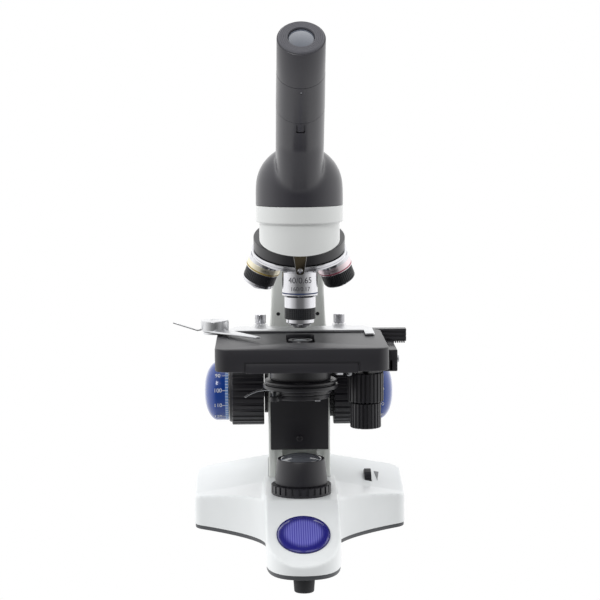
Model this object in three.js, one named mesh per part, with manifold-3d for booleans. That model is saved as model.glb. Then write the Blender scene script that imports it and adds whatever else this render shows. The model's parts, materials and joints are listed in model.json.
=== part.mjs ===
// A monocular student microscope: cast stand, rack-and-pinion stage lift, mechanical X-Y stage,
// Abbe condenser, reversed four-port nosepiece and a 45 degree eyepiece head that turns.
// Millimetres, +Z up. +X is the user's right as the eyepiece points at the user, who looks along +Y.
// The origin is the middle of the front foot's sole. Shapes below are drawn about the optical
// axis, in a group that stands axisY behind that foot.
import * as THREE from "three";
import { mergeVertices } from "three/addons/utils/BufferGeometryUtils.js";
import Module from "manifold-3d";

const wasm = await Module();
wasm.setup();

// Driving dimensions
const gap = 0.3;               // clearance between pieces that touch
const axisY = 74;              // optical axis behind the front foot
const footHeight = 12.2;
const plateBottom = 12.5;      // underside of the dark base plate
const shellBottom = 15.5;      // underside of the white base shell
const platformTop = 49.5;      // pad that the lamp stands on
const prowHalf = 24.8;
const wingHalf = 75.5;
const wingFront = 62;          // where the wing roof starts to climb
const armHalf = 22;
const columnFront = 54.5;
const armSetBack = 82;         // inner face of the upper arm
const armRear = 111.5;
const focusY = 75;             // axis of the focus knobs
const focusZ = 109;
const stageTop = 156.9;
const stageHeight = 15.1;
const stageWidth = 114;
const stageFront = -58;
const stageBack = 44;
const barFront = 57;           // X bar behind the stage
const barBack = 66;
const knobX = 45.3;            // coaxial X-Y knobs under the stage
const knobY = 18;
const screwPlaces = [-27.1, 28.9];   // thumbscrews that hold the slide holder to the bar
const noseTilt = THREE.MathUtils.degToRad(20);
const noseApex = 266.7;        // where the nosepiece axis meets the optical axis
const shoulderRun = 64.3;      // from that apex to an objective's shoulder
const turretRadius = 32.5;
const headSeat = 247.2;        // top of the white collar
const headRadius = 29.5;
const tubeCross = 258.5;       // where the eyepiece tube meets the optical axis
const tubeTilt = THREE.MathUtils.degToRad(45);
const eyepieceStart = 109.4;   // distances along the eyepiece tube
const eyepieceEnd = 139.3;

const optics = new THREE.Group();
optics.position.set(0, axisY, 0);
const model = new THREE.Group();
model.add(optics);

// Materials
const finish = (color, roughness, metalness) => ({ color, roughness, metalness });
const whitePaint = finish("#e6e9ea", 0.35, 0);
const shadowPaint = finish("#d8dbd2", 0.4, 0);
const darkPlastic = finish("#3a3c3f", 0.45, 0);
const blackPlastic = finish("#232427", 0.5, 0);
const blackMetal = finish("#1d1e20", 0.4, 0.4);
const rubber = finish("#2b2b2d", 0.85, 0);
const chrome = finish("#c9cbd3", 0.15, 1);
const steel = finish("#b5b7ba", 0.35, 1);
const brass = finish("#b08d4a", 0.35, 1);
const blueKnob = finish("#2f57a5", 0.25, 0);
const blueBadge = finish("#33339a", 0.3, 0);
const glass = finish("#c8d4dc", 0.05, 0);
const board = finish("#2c6b3c", 0.6, 0);

function named(parent, name, geometry, look) {
  const material = new THREE.MeshStandardMaterial(look);
  const mesh = new THREE.Mesh(geometry, material);
  mesh.name = name;
  parent.add(mesh);
  return mesh;
}

// Closed solids and the cuts between them
function welded(geometry) {
  const bare = geometry.index ? geometry.toNonIndexed() : geometry.clone();
  bare.deleteAttribute("normal");
  bare.deleteAttribute("uv");
  return mergeVertices(bare, 1e-4);
}

function signedVolume(geometry) {
  const place = geometry.attributes.position;
  const index = geometry.index.array;
  const [a, b, c] = [new THREE.Vector3(), new THREE.Vector3(), new THREE.Vector3()];
  let sum = 0;
  for (let i = 0; i < index.length; i += 3) {
    a.fromBufferAttribute(place, index[i]);
    b.fromBufferAttribute(place, index[i + 1]);
    c.fromBufferAttribute(place, index[i + 2]);
    sum += a.dot(b.cross(c));
  }
  return sum;
}

function solid(geometry) {
  const mesh = welded(geometry);
  const triVerts = Uint32Array.from(mesh.index.array);
  if (signedVolume(mesh) < 0) {
    triVerts.reverse();
  }
  const vertProperties = Float32Array.from(mesh.attributes.position.array);
  return new wasm.Manifold(new wasm.Mesh({ numProp: 3, vertProperties, triVerts }));
}

function geometryOf(body) {
  const mesh = body.getMesh();
  const geometry = new THREE.BufferGeometry();
  geometry.setAttribute("position", new THREE.BufferAttribute(mesh.vertProperties, 3));
  geometry.setIndex(new THREE.BufferAttribute(mesh.triVerts, 1));
  geometry.computeVertexNormals();
  return geometry;
}

const join = (first, ...rest) => rest.reduce((whole, next) => whole.add(solid(next)), solid(first));
const cut = (body, ...tools) => tools.reduce((left, tool) => left.subtract(solid(tool)), body);

// Plain shapes. A lathe's profile runs as [radius, height] pairs about +Z.
function turned(profile, segments = 20) {
  const points = profile.map(([radius, height]) => new THREE.Vector2(radius, height));
  return new THREE.LatheGeometry(points, segments).rotateX(Math.PI / 2);
}

function ring(inner, outer, low, high, segments) {
  return turned([[inner, low], [outer, low], [outer, high], [inner, high], [inner, low]], segments);
}

function rod(radius, low, high, segments) {
  return turned([[0, low], [radius, low], [radius, high], [0, high]], segments);
}

function block(x0, x1, y0, y1, z0, z1) {
  const box = new THREE.BoxGeometry(x1 - x0, y1 - y0, z1 - z0);
  return box.translate((x0 + x1) / 2, (y0 + y1) / 2, (z0 + z1) / 2);
}

// Turns a shape drawn about +Z so that its axis lies along +X or +Y.
const alongX = (geometry) => geometry.rotateY(Math.PI / 2);
const alongY = (geometry) => geometry.rotateX(-Math.PI / 2);

function slab(shape, low, high, curveSegments = 6) {
  const settings = { depth: high - low, bevelEnabled: false, curveSegments };
  return new THREE.ExtrudeGeometry(shape, settings).translate(0, 0, low);
}

function roundedRectangle(x0, x1, y0, y1, radius) {
  const shape = new THREE.Shape();
  shape.moveTo(x0 + radius, y0);
  shape.lineTo(x1 - radius, y0);
  shape.absarc(x1 - radius, y0 + radius, radius, -Math.PI / 2, 0);
  shape.absarc(x1 - radius, y1 - radius, radius, 0, Math.PI / 2);
  shape.absarc(x0 + radius, y1 - radius, radius, Math.PI / 2, Math.PI);
  shape.absarc(x0 + radius, y0 + radius, radius, Math.PI, Math.PI * 1.5);
  return shape;
}

// Base: a T-shaped casting with a prow under the lamp and two wings beside the arm
function baseOutline(inset) {
  const right = new THREE.Path();
  right.moveTo(0, -95.5 + inset);
  right.bezierCurveTo(14, -95.5 + inset, 23.8 - inset, -88, prowHalf - inset, -62);
  right.lineTo(prowHalf - inset, -7);
  right.bezierCurveTo(26 - inset, 14, 52, 38 + inset, 70 - inset, 51 + inset);
  right.quadraticCurveTo(wingHalf - inset, 55 + inset, wingHalf - inset, 62);
  right.lineTo(wingHalf - inset, 103);
  right.quadraticCurveTo(wingHalf - inset, 112 - inset, 66, 113 - inset);
  const half = right.getPoints(5);
  const mirrored = half.slice(1).reverse().map((point) => new THREE.Vector2(-point.x, point.y));
  return new THREE.Shape([...half, ...mirrored]);
}

// The wings' roof falls towards their ends and climbs towards the rear.
function wingRoof() {
  const rows = [-20, wingFront, 125];
  const box = new THREE.BoxGeometry(160, 1, 1, 2, 2, 1);
  const place = box.attributes.position;
  for (let i = 0; i < place.count; i += 1) {
    const y = rows[Math.round(place.getY(i) * 2) + 1];
    const roof = 38 + 0.17 * (65 - Math.abs(place.getX(i))) + 0.2 * Math.max(0, y - wingFront);
    place.setXYZ(i, place.getX(i), y, place.getZ(i) > 0 ? roof : shellBottom);
  }
  return box;
}

function prowBody() {
  const side = new THREE.Shape();
  side.moveTo(-97, shellBottom);
  side.lineTo(-97, 21.5);
  side.lineTo(-90, 24.5);
  side.lineTo(-28, 48);
  side.lineTo(-24, platformTop);
  side.lineTo(60, platformTop);
  side.lineTo(60, shellBottom);
  const half = prowHalf + 0.5;
  return new THREE.ExtrudeGeometry(side, { depth: 2 * half, bevelEnabled: false })
    .applyMatrix4(new THREE.Matrix4().set(0, 0, 1, -half, 1, 0, 0, 0, 0, 1, 0, 0, 0, 0, 0, 1));
}

const dimmerHeight = 37.1;

function baseShell() {
  const outline = solid(slab(baseOutline(0), shellBottom, 65));
  const body = join(wingRoof(), prowBody()).intersect(outline);
  const hollows = [
    block(-20, 20, -60, 70, shellBottom - 1, 32),
    block(-70, 70, 66, 107, shellBottom - 1, 33.5),
    block(-armHalf - gap, armHalf + gap, columnFront - gap, armRear - 5.5, 40, 70),
    alongX(rod(12.4, 47.4, 52.6, 22)).translate(0, 83, dimmerHeight),
    block(39, 57, 80, 86, 32, 40.2),
    alongY(rod(6.3, 100, 120, 16)).translate(-38, 0, 24),
    badgeDisc(17.8, 0.6),
  ];
  return geometryOf(cut(body, ...hollows));
}

// An ellipse lying in the sloping face of the prow; badgeLength is its length over its width
const badgeLength = 1.22;

function badgeDisc(halfWidth, sink) {
  const oval = new THREE.Shape();
  oval.absellipse(0, 0, halfWidth, halfWidth * badgeLength, 0, Math.PI * 2);
  return new THREE.ExtrudeGeometry(oval, { depth: 4, bevelEnabled: false, curveSegments: 18 })
    .translate(0, 0, -sink)
    .rotateX(Math.atan2(23.5, 62))
    .translate(0, -63, 34.73);
}

function badge() {
  const face = solid(badgeDisc(17.4, 0.3));
  const trim = solid(block(-30, 30, -30, 60, 0.5, 12).rotateX(Math.atan2(23.5, 62)).translate(0, -70, 32.1));
  return geometryOf(face.subtract(trim));
}

function addBase() {
  named(optics, "base_shell", baseShell(), whitePaint);
  named(optics, "base_plate", slab(baseOutline(0.6), plateBottom, shellBottom - gap), darkPlastic);
  named(optics, "badge", badge(), blueBadge);
  const foot = turned([[0, 0], [6.5, 0], [7.4, footHeight], [0, footHeight]]);
  const feet = { foot_front: [0, -axisY], foot_rear_left: [-58, 103], foot_rear_right: [58, 103] };
  for (const [name, [x, y]] of Object.entries(feet)) {
    named(optics, name, foot.clone().translate(x, y, 0), rubber);
  }
  const jack = cut(solid(rod(6, 98, 114.6, 16)), rod(3.2, 104, 120, 16));
  named(optics, "dc_inlet", alongY(geometryOf(jack)).translate(-38, 0, 24), blackPlastic);
  named(optics, "power_board", block(-30, 30, 72, 95, 18, 19.6), board);
  const wheel = alongX(ring(2, 12, 47.8, 52.2, 22)).translate(0, 83, dimmerHeight);
  named(optics, "dimmer_wheel", wheel, blackPlastic);
  named(optics, "dimmer_shaft", alongX(rod(1.7, 40, 56, 12)).translate(0, 83, dimmerHeight), steel);
}

// Lamp on the prow, under the condenser
function addLamp() {
  const floor = platformTop + gap;
  const housing = turned([[0, floor], [17.4, floor], [17.4, 56.3], [18, 56.6], [16.3, 73.7], [14.8, 73.7],
    [14.8, 70.2], [12.6, 70.2], [12.6, 52.5], [0, 52.5]], 22);
  named(optics, "lamp_housing", housing, blackPlastic);
  named(optics, "lamp_ring", ring(17.7, 20.5, floor, 56, 22), blackPlastic);
  named(optics, "led_module", turned([[0, 52.8], [9, 52.8], [9, 54.5], [3, 54.8], [2, 57], [0, 57.5]], 16), steel);
  const lens = turned([[0, 70.5], [14.4, 70.5], [14.4, 72.5], [12.9, 75.5], [9.1, 78], [4.4, 79.2], [0, 79.5]]);
  named(optics, "lamp_lens", lens, glass);
}

// Arm: a C-shaped casting; its side view is trimmed by its front view
function armSide() {
  const side = new THREE.Shape();
  side.moveTo(columnFront, 40.3);
  side.lineTo(columnFront, 118);
  side.quadraticCurveTo(columnFront, 126, columnFront + 8, 126);
  side.lineTo(armSetBack - 6, 126);
  side.quadraticCurveTo(armSetBack, 126, armSetBack, 133);
  side.lineTo(armSetBack, 200);
  side.bezierCurveTo(armSetBack, 225, 74, 238.6, 58, 238.6);
  side.lineTo(20, 238.6);
  side.lineTo(20, headSeat);
  side.lineTo(58, headSeat);
  side.bezierCurveTo(92, headSeat, armRear, 236, armRear, 200);
  side.lineTo(armRear, 120);
  side.bezierCurveTo(armRear, 100, armRear - 6, 90, armRear - 6, 70);
  side.lineTo(armRear - 6, 40.3);
  return new THREE.ExtrudeGeometry(side, { depth: 80, bevelEnabled: false, curveSegments: 7 })
    .applyMatrix4(new THREE.Matrix4().set(0, 0, 1, -40, 1, 0, 0, 0, 0, 1, 0, 0, 0, 0, 0, 1));
}

function armFront() {
  const right = new THREE.Path();
  right.moveTo(armHalf, 40);
  right.lineTo(armHalf, 140);
  right.quadraticCurveTo(19, 165, 19, 190);
  right.quadraticCurveTo(19, 215, 24, 232);
  right.lineTo(26, 250);
  const half = right.getPoints(4);
  const mirrored = half.slice().reverse().map((point) => new THREE.Vector2(-point.x, point.y));
  return new THREE.ExtrudeGeometry(new THREE.Shape([...half, ...mirrored]), { depth: 140, bevelEnabled: false })
    .applyMatrix4(new THREE.Matrix4().set(1, 0, 0, 0, 0, 0, 1, 0, 0, 1, 0, 0, 0, 0, 0, 1));
}

function arm() {
  const body = solid(armSide()).intersect(solid(armFront()));
  const tools = [
    block(-12.3, 12.3, 50, 70.4, 56, 130),
    block(-7, 7, 66, 80.3, 103.7, 114.3),
    alongX(rod(5, -30, 30, 20)).translate(0, focusY, focusZ),
    rod(headRadius + gap, 225, 260, 26),
  ];
  for (const side of [-1, 1]) {
    tools.push(alongY(rod(1.6, 78, 86, 12)).translate(side * 14.2, 0, 163.5));
  }
  return geometryOf(cut(body, ...tools));
}

// Coaxial focus: knobs, their shafts and the rack
function addFocus() {
  const place = (geometry) => alongX(geometry).translate(0, focusY, focusZ);
  named(optics, "arm", arm(), shadowPaint);
  named(optics, "coarse_shaft", place(ring(2.9, 4.6, -48, 48, 16)), steel);
  named(optics, "fine_shaft", place(rod(2.5, -62.3, 62.3, 16)), steel);
  named(optics, "tension_ring", place(ring(4.9, 19, 22.4, 24.9, 22)), blackPlastic);
  const coarse = turned([[4.9, 25.3], [24, 25.3], [24.5, 26], [24.5, 47.5], [23, 50], [4.9, 50], [4.9, 25.3]], 24);
  const fine = turned([[2.8, 50.4], [21, 50.4], [21, 59], [19, 63.8], [14, 66.5], [6, 67.6], [0, 67.8], [0, 62.8],
    [2.8, 62.8], [2.8, 50.4]], 24);
  named(optics, "coarse_knob_right", place(coarse.clone()), blackPlastic);
  named(optics, "coarse_knob_left", place(coarse.clone().rotateX(Math.PI)), blackPlastic);
  named(optics, "fine_knob_right", place(fine.clone()), blueKnob);
  named(optics, "fine_knob_left", place(fine.clone().rotateX(Math.PI)), blueKnob);
  named(optics, "coarse_slide", block(-11.9, 11.9, 54.2, 64, 72, 140), blackMetal);
  named(optics, "focus_rack", block(-4, 4, 64.3, 69.9, 88, 134), brass);
}

// Stage: a skirted plate on a bracket, with the condenser's sleeve under its slot
function stagePlate() {
  const half = stageWidth / 2;
  const low = stageTop - stageHeight;
  const body = solid(slab(roundedRectangle(-half, half, stageFront, stageBack, 8), low, stageTop));
  const under = roundedRectangle(-half + 2.5, half - 2.5, stageFront + 2.5, stageBack - 2.5, 5.5);
  return geometryOf(cut(body,
    slab(under, low - 1, stageTop - 5),
    slab(roundedRectangle(-9.65, 9.65, -28, 17, 3), low, stageTop + 1),
    block(-38, 38, stageFront - 1, stageFront + 0.8, low - 1, low + 6)));
}

function addStage() {
  named(optics, "stage_top", stagePlate(), blackPlastic);
  named(optics, "stage_bracket", block(-20, 20, 30, 49.6, 128.5, 141.5), blackMetal);
  named(optics, "stage_carrier", block(-20.6, 20.6, 49.9, 53.9, 70, 140), blackPlastic);
  const sleeve = solid(ring(18.5, 20.8, 129, 151.6, 22));
  const clampHole = alongX(rod(1.8, 15, 25, 12)).translate(0, 0, 134);
  named(optics, "condenser_holder", geometryOf(cut(sleeve, clampHole)), blackMetal);
  const screw = alongX(turned([[0, 18.7], [1.4, 18.7], [1.4, 24], [3, 24], [3, 29], [0, 29]], 16));
  named(optics, "condenser_screw", screw.translate(0, 0, 134), chrome);
}

function addCondenser() {
  const body = turned([[7, 122.6], [25.5, 122.6], [25.5, 125.8], [24.6, 126], [24.6, 128.4], [18.2, 128.4],
    [18.2, 149], [9.2, 151.3], [8.2, 155.6], [6, 155.6], [6, 150], [7, 149], [7, 122.6]], 24);
  named(optics, "condenser_body", body, blackMetal);
  named(optics, "condenser_top_lens", turned([[0, 151], [5.7, 151], [5.7, 155.8], [0, 155.9]], 20), glass);
  named(optics, "condenser_field_lens", turned([[0, 126], [6.7, 127], [6.7, 129], [0, 131]], 20), glass);
  const bend = new THREE.CubicBezierCurve3(new THREE.Vector3(-19.5, 0, 120.8),
    new THREE.Vector3(-28, 0, 121.2), new THREE.Vector3(-34, -1, 119.4), new THREE.Vector3(-38.2, -2, 116.2));
  const wire = new THREE.ExtrudeGeometry(new THREE.Shape().absarc(0, 0, 0.7, 0, Math.PI * 2),
    { steps: 8, curveSegments: 4, bevelEnabled: false, extrudePath: bend });
  named(optics, "iris_lever", geometryOf(join(ring(12, 21.3, 119.6, 122.3, 22), wire)), steel);
  const eye = ring(1.6, 3.2, 116.1, 119.1, 14).translate(-18, -17, 0);
  const tab = block(9, 13, -21, -15, 116.1, 117.3);
  const tray = join(ring(14.5, 19.6, 116.1, 119.1, 22), block(-17, -11, -16, -10, 116.3, 118.9));
  named(optics, "filter_holder", geometryOf(tray.add(solid(eye)).add(solid(tab))), blackPlastic);
  named(optics, "filter_pin", rod(1.3, 115.5, 122.3, 12).translate(-18, -17, 0), steel);
}

// Mechanical stage: the carriage moves in Y; the bar, holder and finger ride on it in X
function addMechanicalStage() {
  const carriage = join(block(60.9, 66.8, 7, 40, 132, 147), block(60.9, 66.8, 39, 56.6, 142, 147),
    block(60.9, 66.8, 56, 66, 142, 144.4), block(33, 64, 7, 28, 132, 140.5),
    rod(2.2, 130.3, 133, 12).translate(knobX, knobY, 0));
  named(optics, "y_carriage", geometryOf(carriage), blackMetal);
  named(optics, "y_knob", rod(12.5, 109.8, 130, 22).translate(knobX, knobY, 0), blackPlastic);
  named(optics, "x_knob", rod(10.7, 92, 109.5, 22).translate(knobX, knobY, 0), blackPlastic);
  const pads = screwPlaces.map((x) => rod(4, 154, 157, 16).translate(x, 61.5, 0));
  const bar = join(block(-38, 76.5, barFront, barBack, 147.6, 155.1), block(52, 76.5, 58, 65, 144.9, 148), ...pads);
  named(optics, "x_bar", geometryOf(bar), blackMetal);
  named(optics, "slide_holder", slideHolder(), steel);
  const screw = turned([[0, 159.2], [3.9, 159.2], [3.9, 165.4], [3.4, 166], [0, 166]], 18);
  named(optics, "thumbscrew_left", screw.clone().translate(screwPlaces[0], 61.5, 0), chrome);
  named(optics, "thumbscrew_right", screw.clone().translate(screwPlaces[1], 61.5, 0), chrome);
  named(optics, "slide_finger", slideFinger(), steel);
}

// The finger turns about an upright pin here
const pivotX = -58.6;

function slideHolder() {
  const plate = new THREE.Shape();
  const tab = 5;
  const back = 49;
  plate.moveTo(-43.5, 25);
  plate.lineTo(44.5, 25);
  plate.lineTo(44.5, 5);
  plate.lineTo(51, 5);
  plate.lineTo(51, 36);
  plate.lineTo(46, back);
  for (const x of [...screwPlaces].reverse()) {
    plate.lineTo(x + tab, back);
    plate.absarc(x, 61, tab, 0, Math.PI);
    plate.lineTo(x - tab, back);
  }
  plate.lineTo(-44, back);
  plate.lineTo(-51, 31);
  plate.absarc(pivotX, 22, 8, Math.PI * 0.4, Math.PI * 1.6);
  return slab(plate, 157.3, 158.8);
}

function slideFinger() {
  const blade = new THREE.Shape();
  blade.moveTo(-67, 20);
  blade.lineTo(-30, -21.5);
  blade.lineTo(-27, -20.5);
  blade.lineTo(-30.5, -14);
  blade.lineTo(-52, 24);
  const thumb = new THREE.Shape();
  thumb.moveTo(-66, 160.2);
  thumb.lineTo(-70.5, 159.3);
  thumb.lineTo(-87.5, 164.9);
  thumb.lineTo(-87.5, 165.7);
  thumb.lineTo(-70.5, 160.3);
  thumb.lineTo(-66, 161.2);
  const lever = new THREE.ExtrudeGeometry(thumb, { depth: 3, bevelEnabled: false })
    .applyMatrix4(new THREE.Matrix4().set(1, 0, 0, 0, 0, 0, 1, 20, 0, 1, 0, 0, 0, 0, 0, 1));
  const disc = rod(9.7, 160, 166.8, 20).translate(pivotX, 22, 0);
  return geometryOf(join(slab(blade, 159.1, 160.3), disc, lever));
}

// Nosepiece: everything on it is drawn about its own tilted axis, with the apex at z = 0
const noseFrame = new THREE.Group();
noseFrame.position.set(0, 0, noseApex);
noseFrame.rotation.set(Math.PI + noseTilt, 0, 0);
optics.add(noseFrame);

const shoulderDepth = shoulderRun * Math.cos(noseTilt);
const shoulderRing = shoulderRun * Math.sin(noseTilt);

function onPort(geometry, turn) {
  const direction = new THREE.Vector3(Math.sin(noseTilt) * Math.sin(turn),
    Math.sin(noseTilt) * Math.cos(turn), Math.cos(noseTilt));
  const swing = new THREE.Quaternion().setFromUnitVectors(new THREE.Vector3(0, 0, 1), direction);
  return geometry.applyQuaternion(swing).translate(...direction.multiplyScalar(shoulderRun));
}

function turretBody() {
  const fall = Math.tan(noseTilt);
  const under = (radius) => shoulderDepth + (shoulderRing - radius) * fall;
  const body = solid(turned([[5.6, 53], [turretRadius, 53], [turretRadius, under(turretRadius) - 0.2],
    [turretRadius - 1, under(turretRadius - 1)], [10, under(10)], [5.6, under(10)], [5.6, 53]], 26));
  const ports = [0, 1, 2, 3].map((port) => onPort(rod(10.1, -25, 5, 20), port * Math.PI / 2));
  return geometryOf(cut(body, ...ports));
}

function noseMount() {
  const body = solid(turned([[0, 40], [24, 40], [24, 44.5], [31.3, 44.5], [31.3, 52.7], [5.2, 52.7], [5.2, 64.6],
    [0, 64.6]], 26));
  return geometryOf(cut(body, rod(11, -30, -5, 16).applyMatrix4(lightPath())));
}

// A cylinder drawn from z = -30 to -5 moves onto the optical axis, inside the nosepiece's own frame.
function lightPath() {
  const down = new THREE.Vector3(0, Math.sin(noseTilt), Math.cos(noseTilt));
  const swing = new THREE.Quaternion().setFromUnitVectors(new THREE.Vector3(0, 0, 1), down);
  const centre = down.clone().multiplyScalar(66);
  return new THREE.Matrix4().compose(centre, swing, new THREE.Vector3(1, 1, 1));
}

// Objectives are drawn from their shoulder down, with a thread that enters the port.
function objective(profile, name, turn, look) {
  const barrel = turned([[4, -4], [9.8, -4], [9.8, gap], ...profile, [4, -4]], 20);
  named(noseFrame, name, onPort(barrel, turn), look);
}

function addNosepiece() {
  named(noseFrame, "nosepiece_mount", noseMount(), blackMetal);
  named(noseFrame, "turret", turretBody(), chrome);
  const blade = new THREE.Shape();
  blade.moveTo(-5, 40.3);
  blade.lineTo(5, 40.3);
  blade.lineTo(2.8, 56);
  blade.lineTo(1.6, 57.5);
  blade.lineTo(-1.6, 57.5);
  blade.lineTo(-2.8, 56);
  const strip = new THREE.ExtrudeGeometry(blade, { depth: 0.6, bevelEnabled: false })
    .applyMatrix4(new THREE.Matrix4().set(1, 0, 0, 0, 0, 0, 1, 34, 0, 1, 0, 0, 0, 0, 0, 1));
  named(noseFrame, "click_spring", geometryOf(join(strip, block(-3.4, 3.4, 31.7, 34.2, 45, 48.5))), blackMetal);
  const quarter = Math.PI / 2;
  objective([[12, gap], [12, 16.6], [10.5, 17.2], [10.5, 24.7], [10.6, 24.9], [10.6, 32.6], [9.8, 32.6],
    [9.8, 27.6], [4, 27.6]], "objective_40x", 0, chrome);
  const nose = onPort(turned([[0, 29.4], [9.5, 29.4], [9.5, 34], [7, 36.2], [4.6, 36.8], [4, 38.4], [0, 38.4]]), 0);
  named(noseFrame, "objective_40x_nose", nose, chrome);
  objective([[12, gap], [12, 8.5], [11, 9.5], [11, 18.5], [11.4, 18.8], [10.4, 20.2], [5.5, 20.2], [5.2, 22.5],
    [4, 22.5]], "objective_10x", -quarter, chrome);
  objective([[12, gap], [12, 8.5], [11, 9.5], [11, 18.4], [10, 19], [5, 19], [4, 18]],
    "objective_4x", quarter, chrome);
  const plug = turned([[0, -3], [9.6, -3], [9.6, gap], [11.6, gap], [11.6, 3.6], [10.6, 4.4], [0, 4.4]]);
  named(noseFrame, "port_plug", onPort(plug, 2 * quarter), blackPlastic);
}

// Head: a fixed white bowl over the nosepiece, then the dome and its slanted tube, which turn
const tubeFrame = new THREE.Group();
tubeFrame.position.set(0, 0, tubeCross);
tubeFrame.rotation.set(tubeTilt, 0, 0);
optics.add(tubeFrame);

function bowl() {
  const body = solid(turned([[12, 200], [27.2, 200], [27.2, 235.6], [headRadius, 236], [headRadius, headSeat],
    [20.2, headSeat], [20.2, 243], [12, 243], [12, 200]], 30));
  noseFrame.updateMatrix();
  return geometryOf(cut(body, block(-60, 60, -60, 60, 39.7, 120).applyMatrix4(noseFrame.matrix)));
}

function dome() {
  tubeFrame.updateMatrix();
  const low = headSeat + gap;
  const shell = turned([[0, 243.3], [19.8, 243.3], [19.8, low], [headRadius, low], [headRadius, 258], [28.9, 265],
    [27.2, 270.5], [24.4, 275.6], [20.5, 280], [16, 283.6], [9, 286.4], [0, 287.3]], 28);
  const tube = turned([[0, 0], [16.15, 0], [15.8, 78.3], [0, 78.3]], 24).applyMatrix4(tubeFrame.matrix);
  const body = cut(join(shell, tube), rod(16, 240, 267, 22));
  return geometryOf(cut(body, rod(12.3, 0, 90, 20).applyMatrix4(tubeFrame.matrix)));
}

function addHead() {
  named(optics, "head_bowl", bowl(), whitePaint);
  named(optics, "head_dome", dome(), darkPlastic);
  named(optics, "head_prism", block(-9.5, 9.5, -9.5, 9.5, 248.5, 265.5), glass);
  named(tubeFrame, "eyepiece_tube", ring(11.9, 15.5, 78.6, eyepieceStart - gap, 24), darkPlastic);
  const eyepiece = turned([[8, 86], [11.6, 86], [11.6, 109.1], [15.3, eyepieceStart], [15.3, 136.8], [14.6, 138.7],
    [13.6, eyepieceEnd], [8.6, eyepieceEnd], [8.2, 138.6], [8, 86]], 24);
  named(tubeFrame, "eyepiece", eyepiece, darkPlastic);
  named(tubeFrame, "eye_lens", turned([[0, 133], [7.7, 133.6], [7.7, 137.3], [4, 138.3], [0, 138.6]], 16), glass);
  named(tubeFrame, "field_lens", turned([[0, 88], [4, 88.3], [7.7, 89.6], [7.7, 91.5], [0, 92]], 16), glass);
}

addBase();
addLamp();
addFocus();
addStage();
addCondenser();
addMechanicalStage();
addNosepiece();
addHead();

export default model;
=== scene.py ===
# A monocular student microscope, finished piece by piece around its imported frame.
import json
from math import atan2, cos, pi, radians, sin, tan

import bmesh
import bpy
from mathutils import Matrix, Vector


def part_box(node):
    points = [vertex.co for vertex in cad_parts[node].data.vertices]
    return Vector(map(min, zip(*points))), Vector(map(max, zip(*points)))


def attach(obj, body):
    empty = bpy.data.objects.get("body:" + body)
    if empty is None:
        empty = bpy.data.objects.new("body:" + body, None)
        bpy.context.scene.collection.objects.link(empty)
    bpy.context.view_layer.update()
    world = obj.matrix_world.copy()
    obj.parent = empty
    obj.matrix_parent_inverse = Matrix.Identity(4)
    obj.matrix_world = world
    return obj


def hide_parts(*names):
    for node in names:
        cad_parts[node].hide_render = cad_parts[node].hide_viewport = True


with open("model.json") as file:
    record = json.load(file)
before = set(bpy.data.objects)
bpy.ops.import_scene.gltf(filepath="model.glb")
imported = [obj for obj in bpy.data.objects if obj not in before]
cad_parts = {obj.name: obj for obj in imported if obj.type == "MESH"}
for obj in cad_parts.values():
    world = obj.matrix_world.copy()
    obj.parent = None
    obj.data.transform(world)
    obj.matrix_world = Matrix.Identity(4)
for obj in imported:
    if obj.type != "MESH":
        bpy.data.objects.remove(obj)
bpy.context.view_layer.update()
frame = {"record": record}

mm = 0.001
bodyOf = {node: body for body, nodes in frame["record"]["behaviour"]["bodies"].items() for node in nodes}


def centreOf(node):
    low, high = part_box(node)
    return (Vector(low) + Vector(high)) / 2


def shifted(x, y, z):        # a move in mm
    return Matrix.Translation((x * mm, y * mm, z * mm))


# Pieces are drawn about the optical axis, and these turn a piece's +Z to the right, left, front or rear
axisY = centreOf("lamp_ring").y
opticAxis = Matrix.Translation((0, axisY, 0))
toRight = Matrix.Rotation(pi / 2, 4, "Y")
toLeft = Matrix.Rotation(-pi / 2, 4, "Y")
toFront = Matrix.Rotation(pi / 2, 4, "X")
toRear = Matrix.Rotation(-pi / 2, 4, "X")
sideOn = Matrix(((0, 0, 1, 0), (1, 0, 0, 0), (0, 1, 0, 0), (0, 0, 0, 1)))       # an outline in Y and Z
frontOn = Matrix(((1, 0, 0, 0), (0, 0, 1, 0), (0, 1, 0, 0), (0, 0, 0, 1)))      # an outline in X and Z
upright = Matrix(((1, 0, 0, 0), (0, 0, -1, 0), (0, 1, 0, 0), (0, 0, 0, 1)))     # the same, facing the front

# Camera and light: room values are brightnesses, the rest is in mm and degrees but for the key light
studio = {
    "lens": 114, "distance": 1282, "side": -25, "height": 323, "pitch": 6.25, "roll": -0.4,
    "wall": 1.4, "front": 0.47, "behindCamera": 0.4, "floor": 0.8,
    "keyPower": 5, "keySize": 0.35, "keySpot": (-0.35, -0.9, 1.0), "keyTarget": (0, 0.05, 0.15),
}


def buildCamera():
    data = bpy.data.cameras.new("frontCamera")
    data.lens = studio["lens"]
    data.sensor_width = 36
    data.clip_end = 50
    camera = bpy.data.objects.new("frontCamera", data)
    bpy.context.scene.collection.objects.link(camera)
    yaw = atan2(-studio["side"], studio["distance"])
    place = opticAxis @ shifted(studio["side"], -studio["distance"], studio["height"])
    turn = Matrix.Rotation(-yaw, 4, "Z") @ Matrix.Rotation(radians(90 - studio["pitch"]), 4, "X")
    camera.matrix_world = place @ turn @ Matrix.Rotation(radians(studio["roll"]), 4, "Z")
    bpy.context.scene.camera = camera


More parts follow.
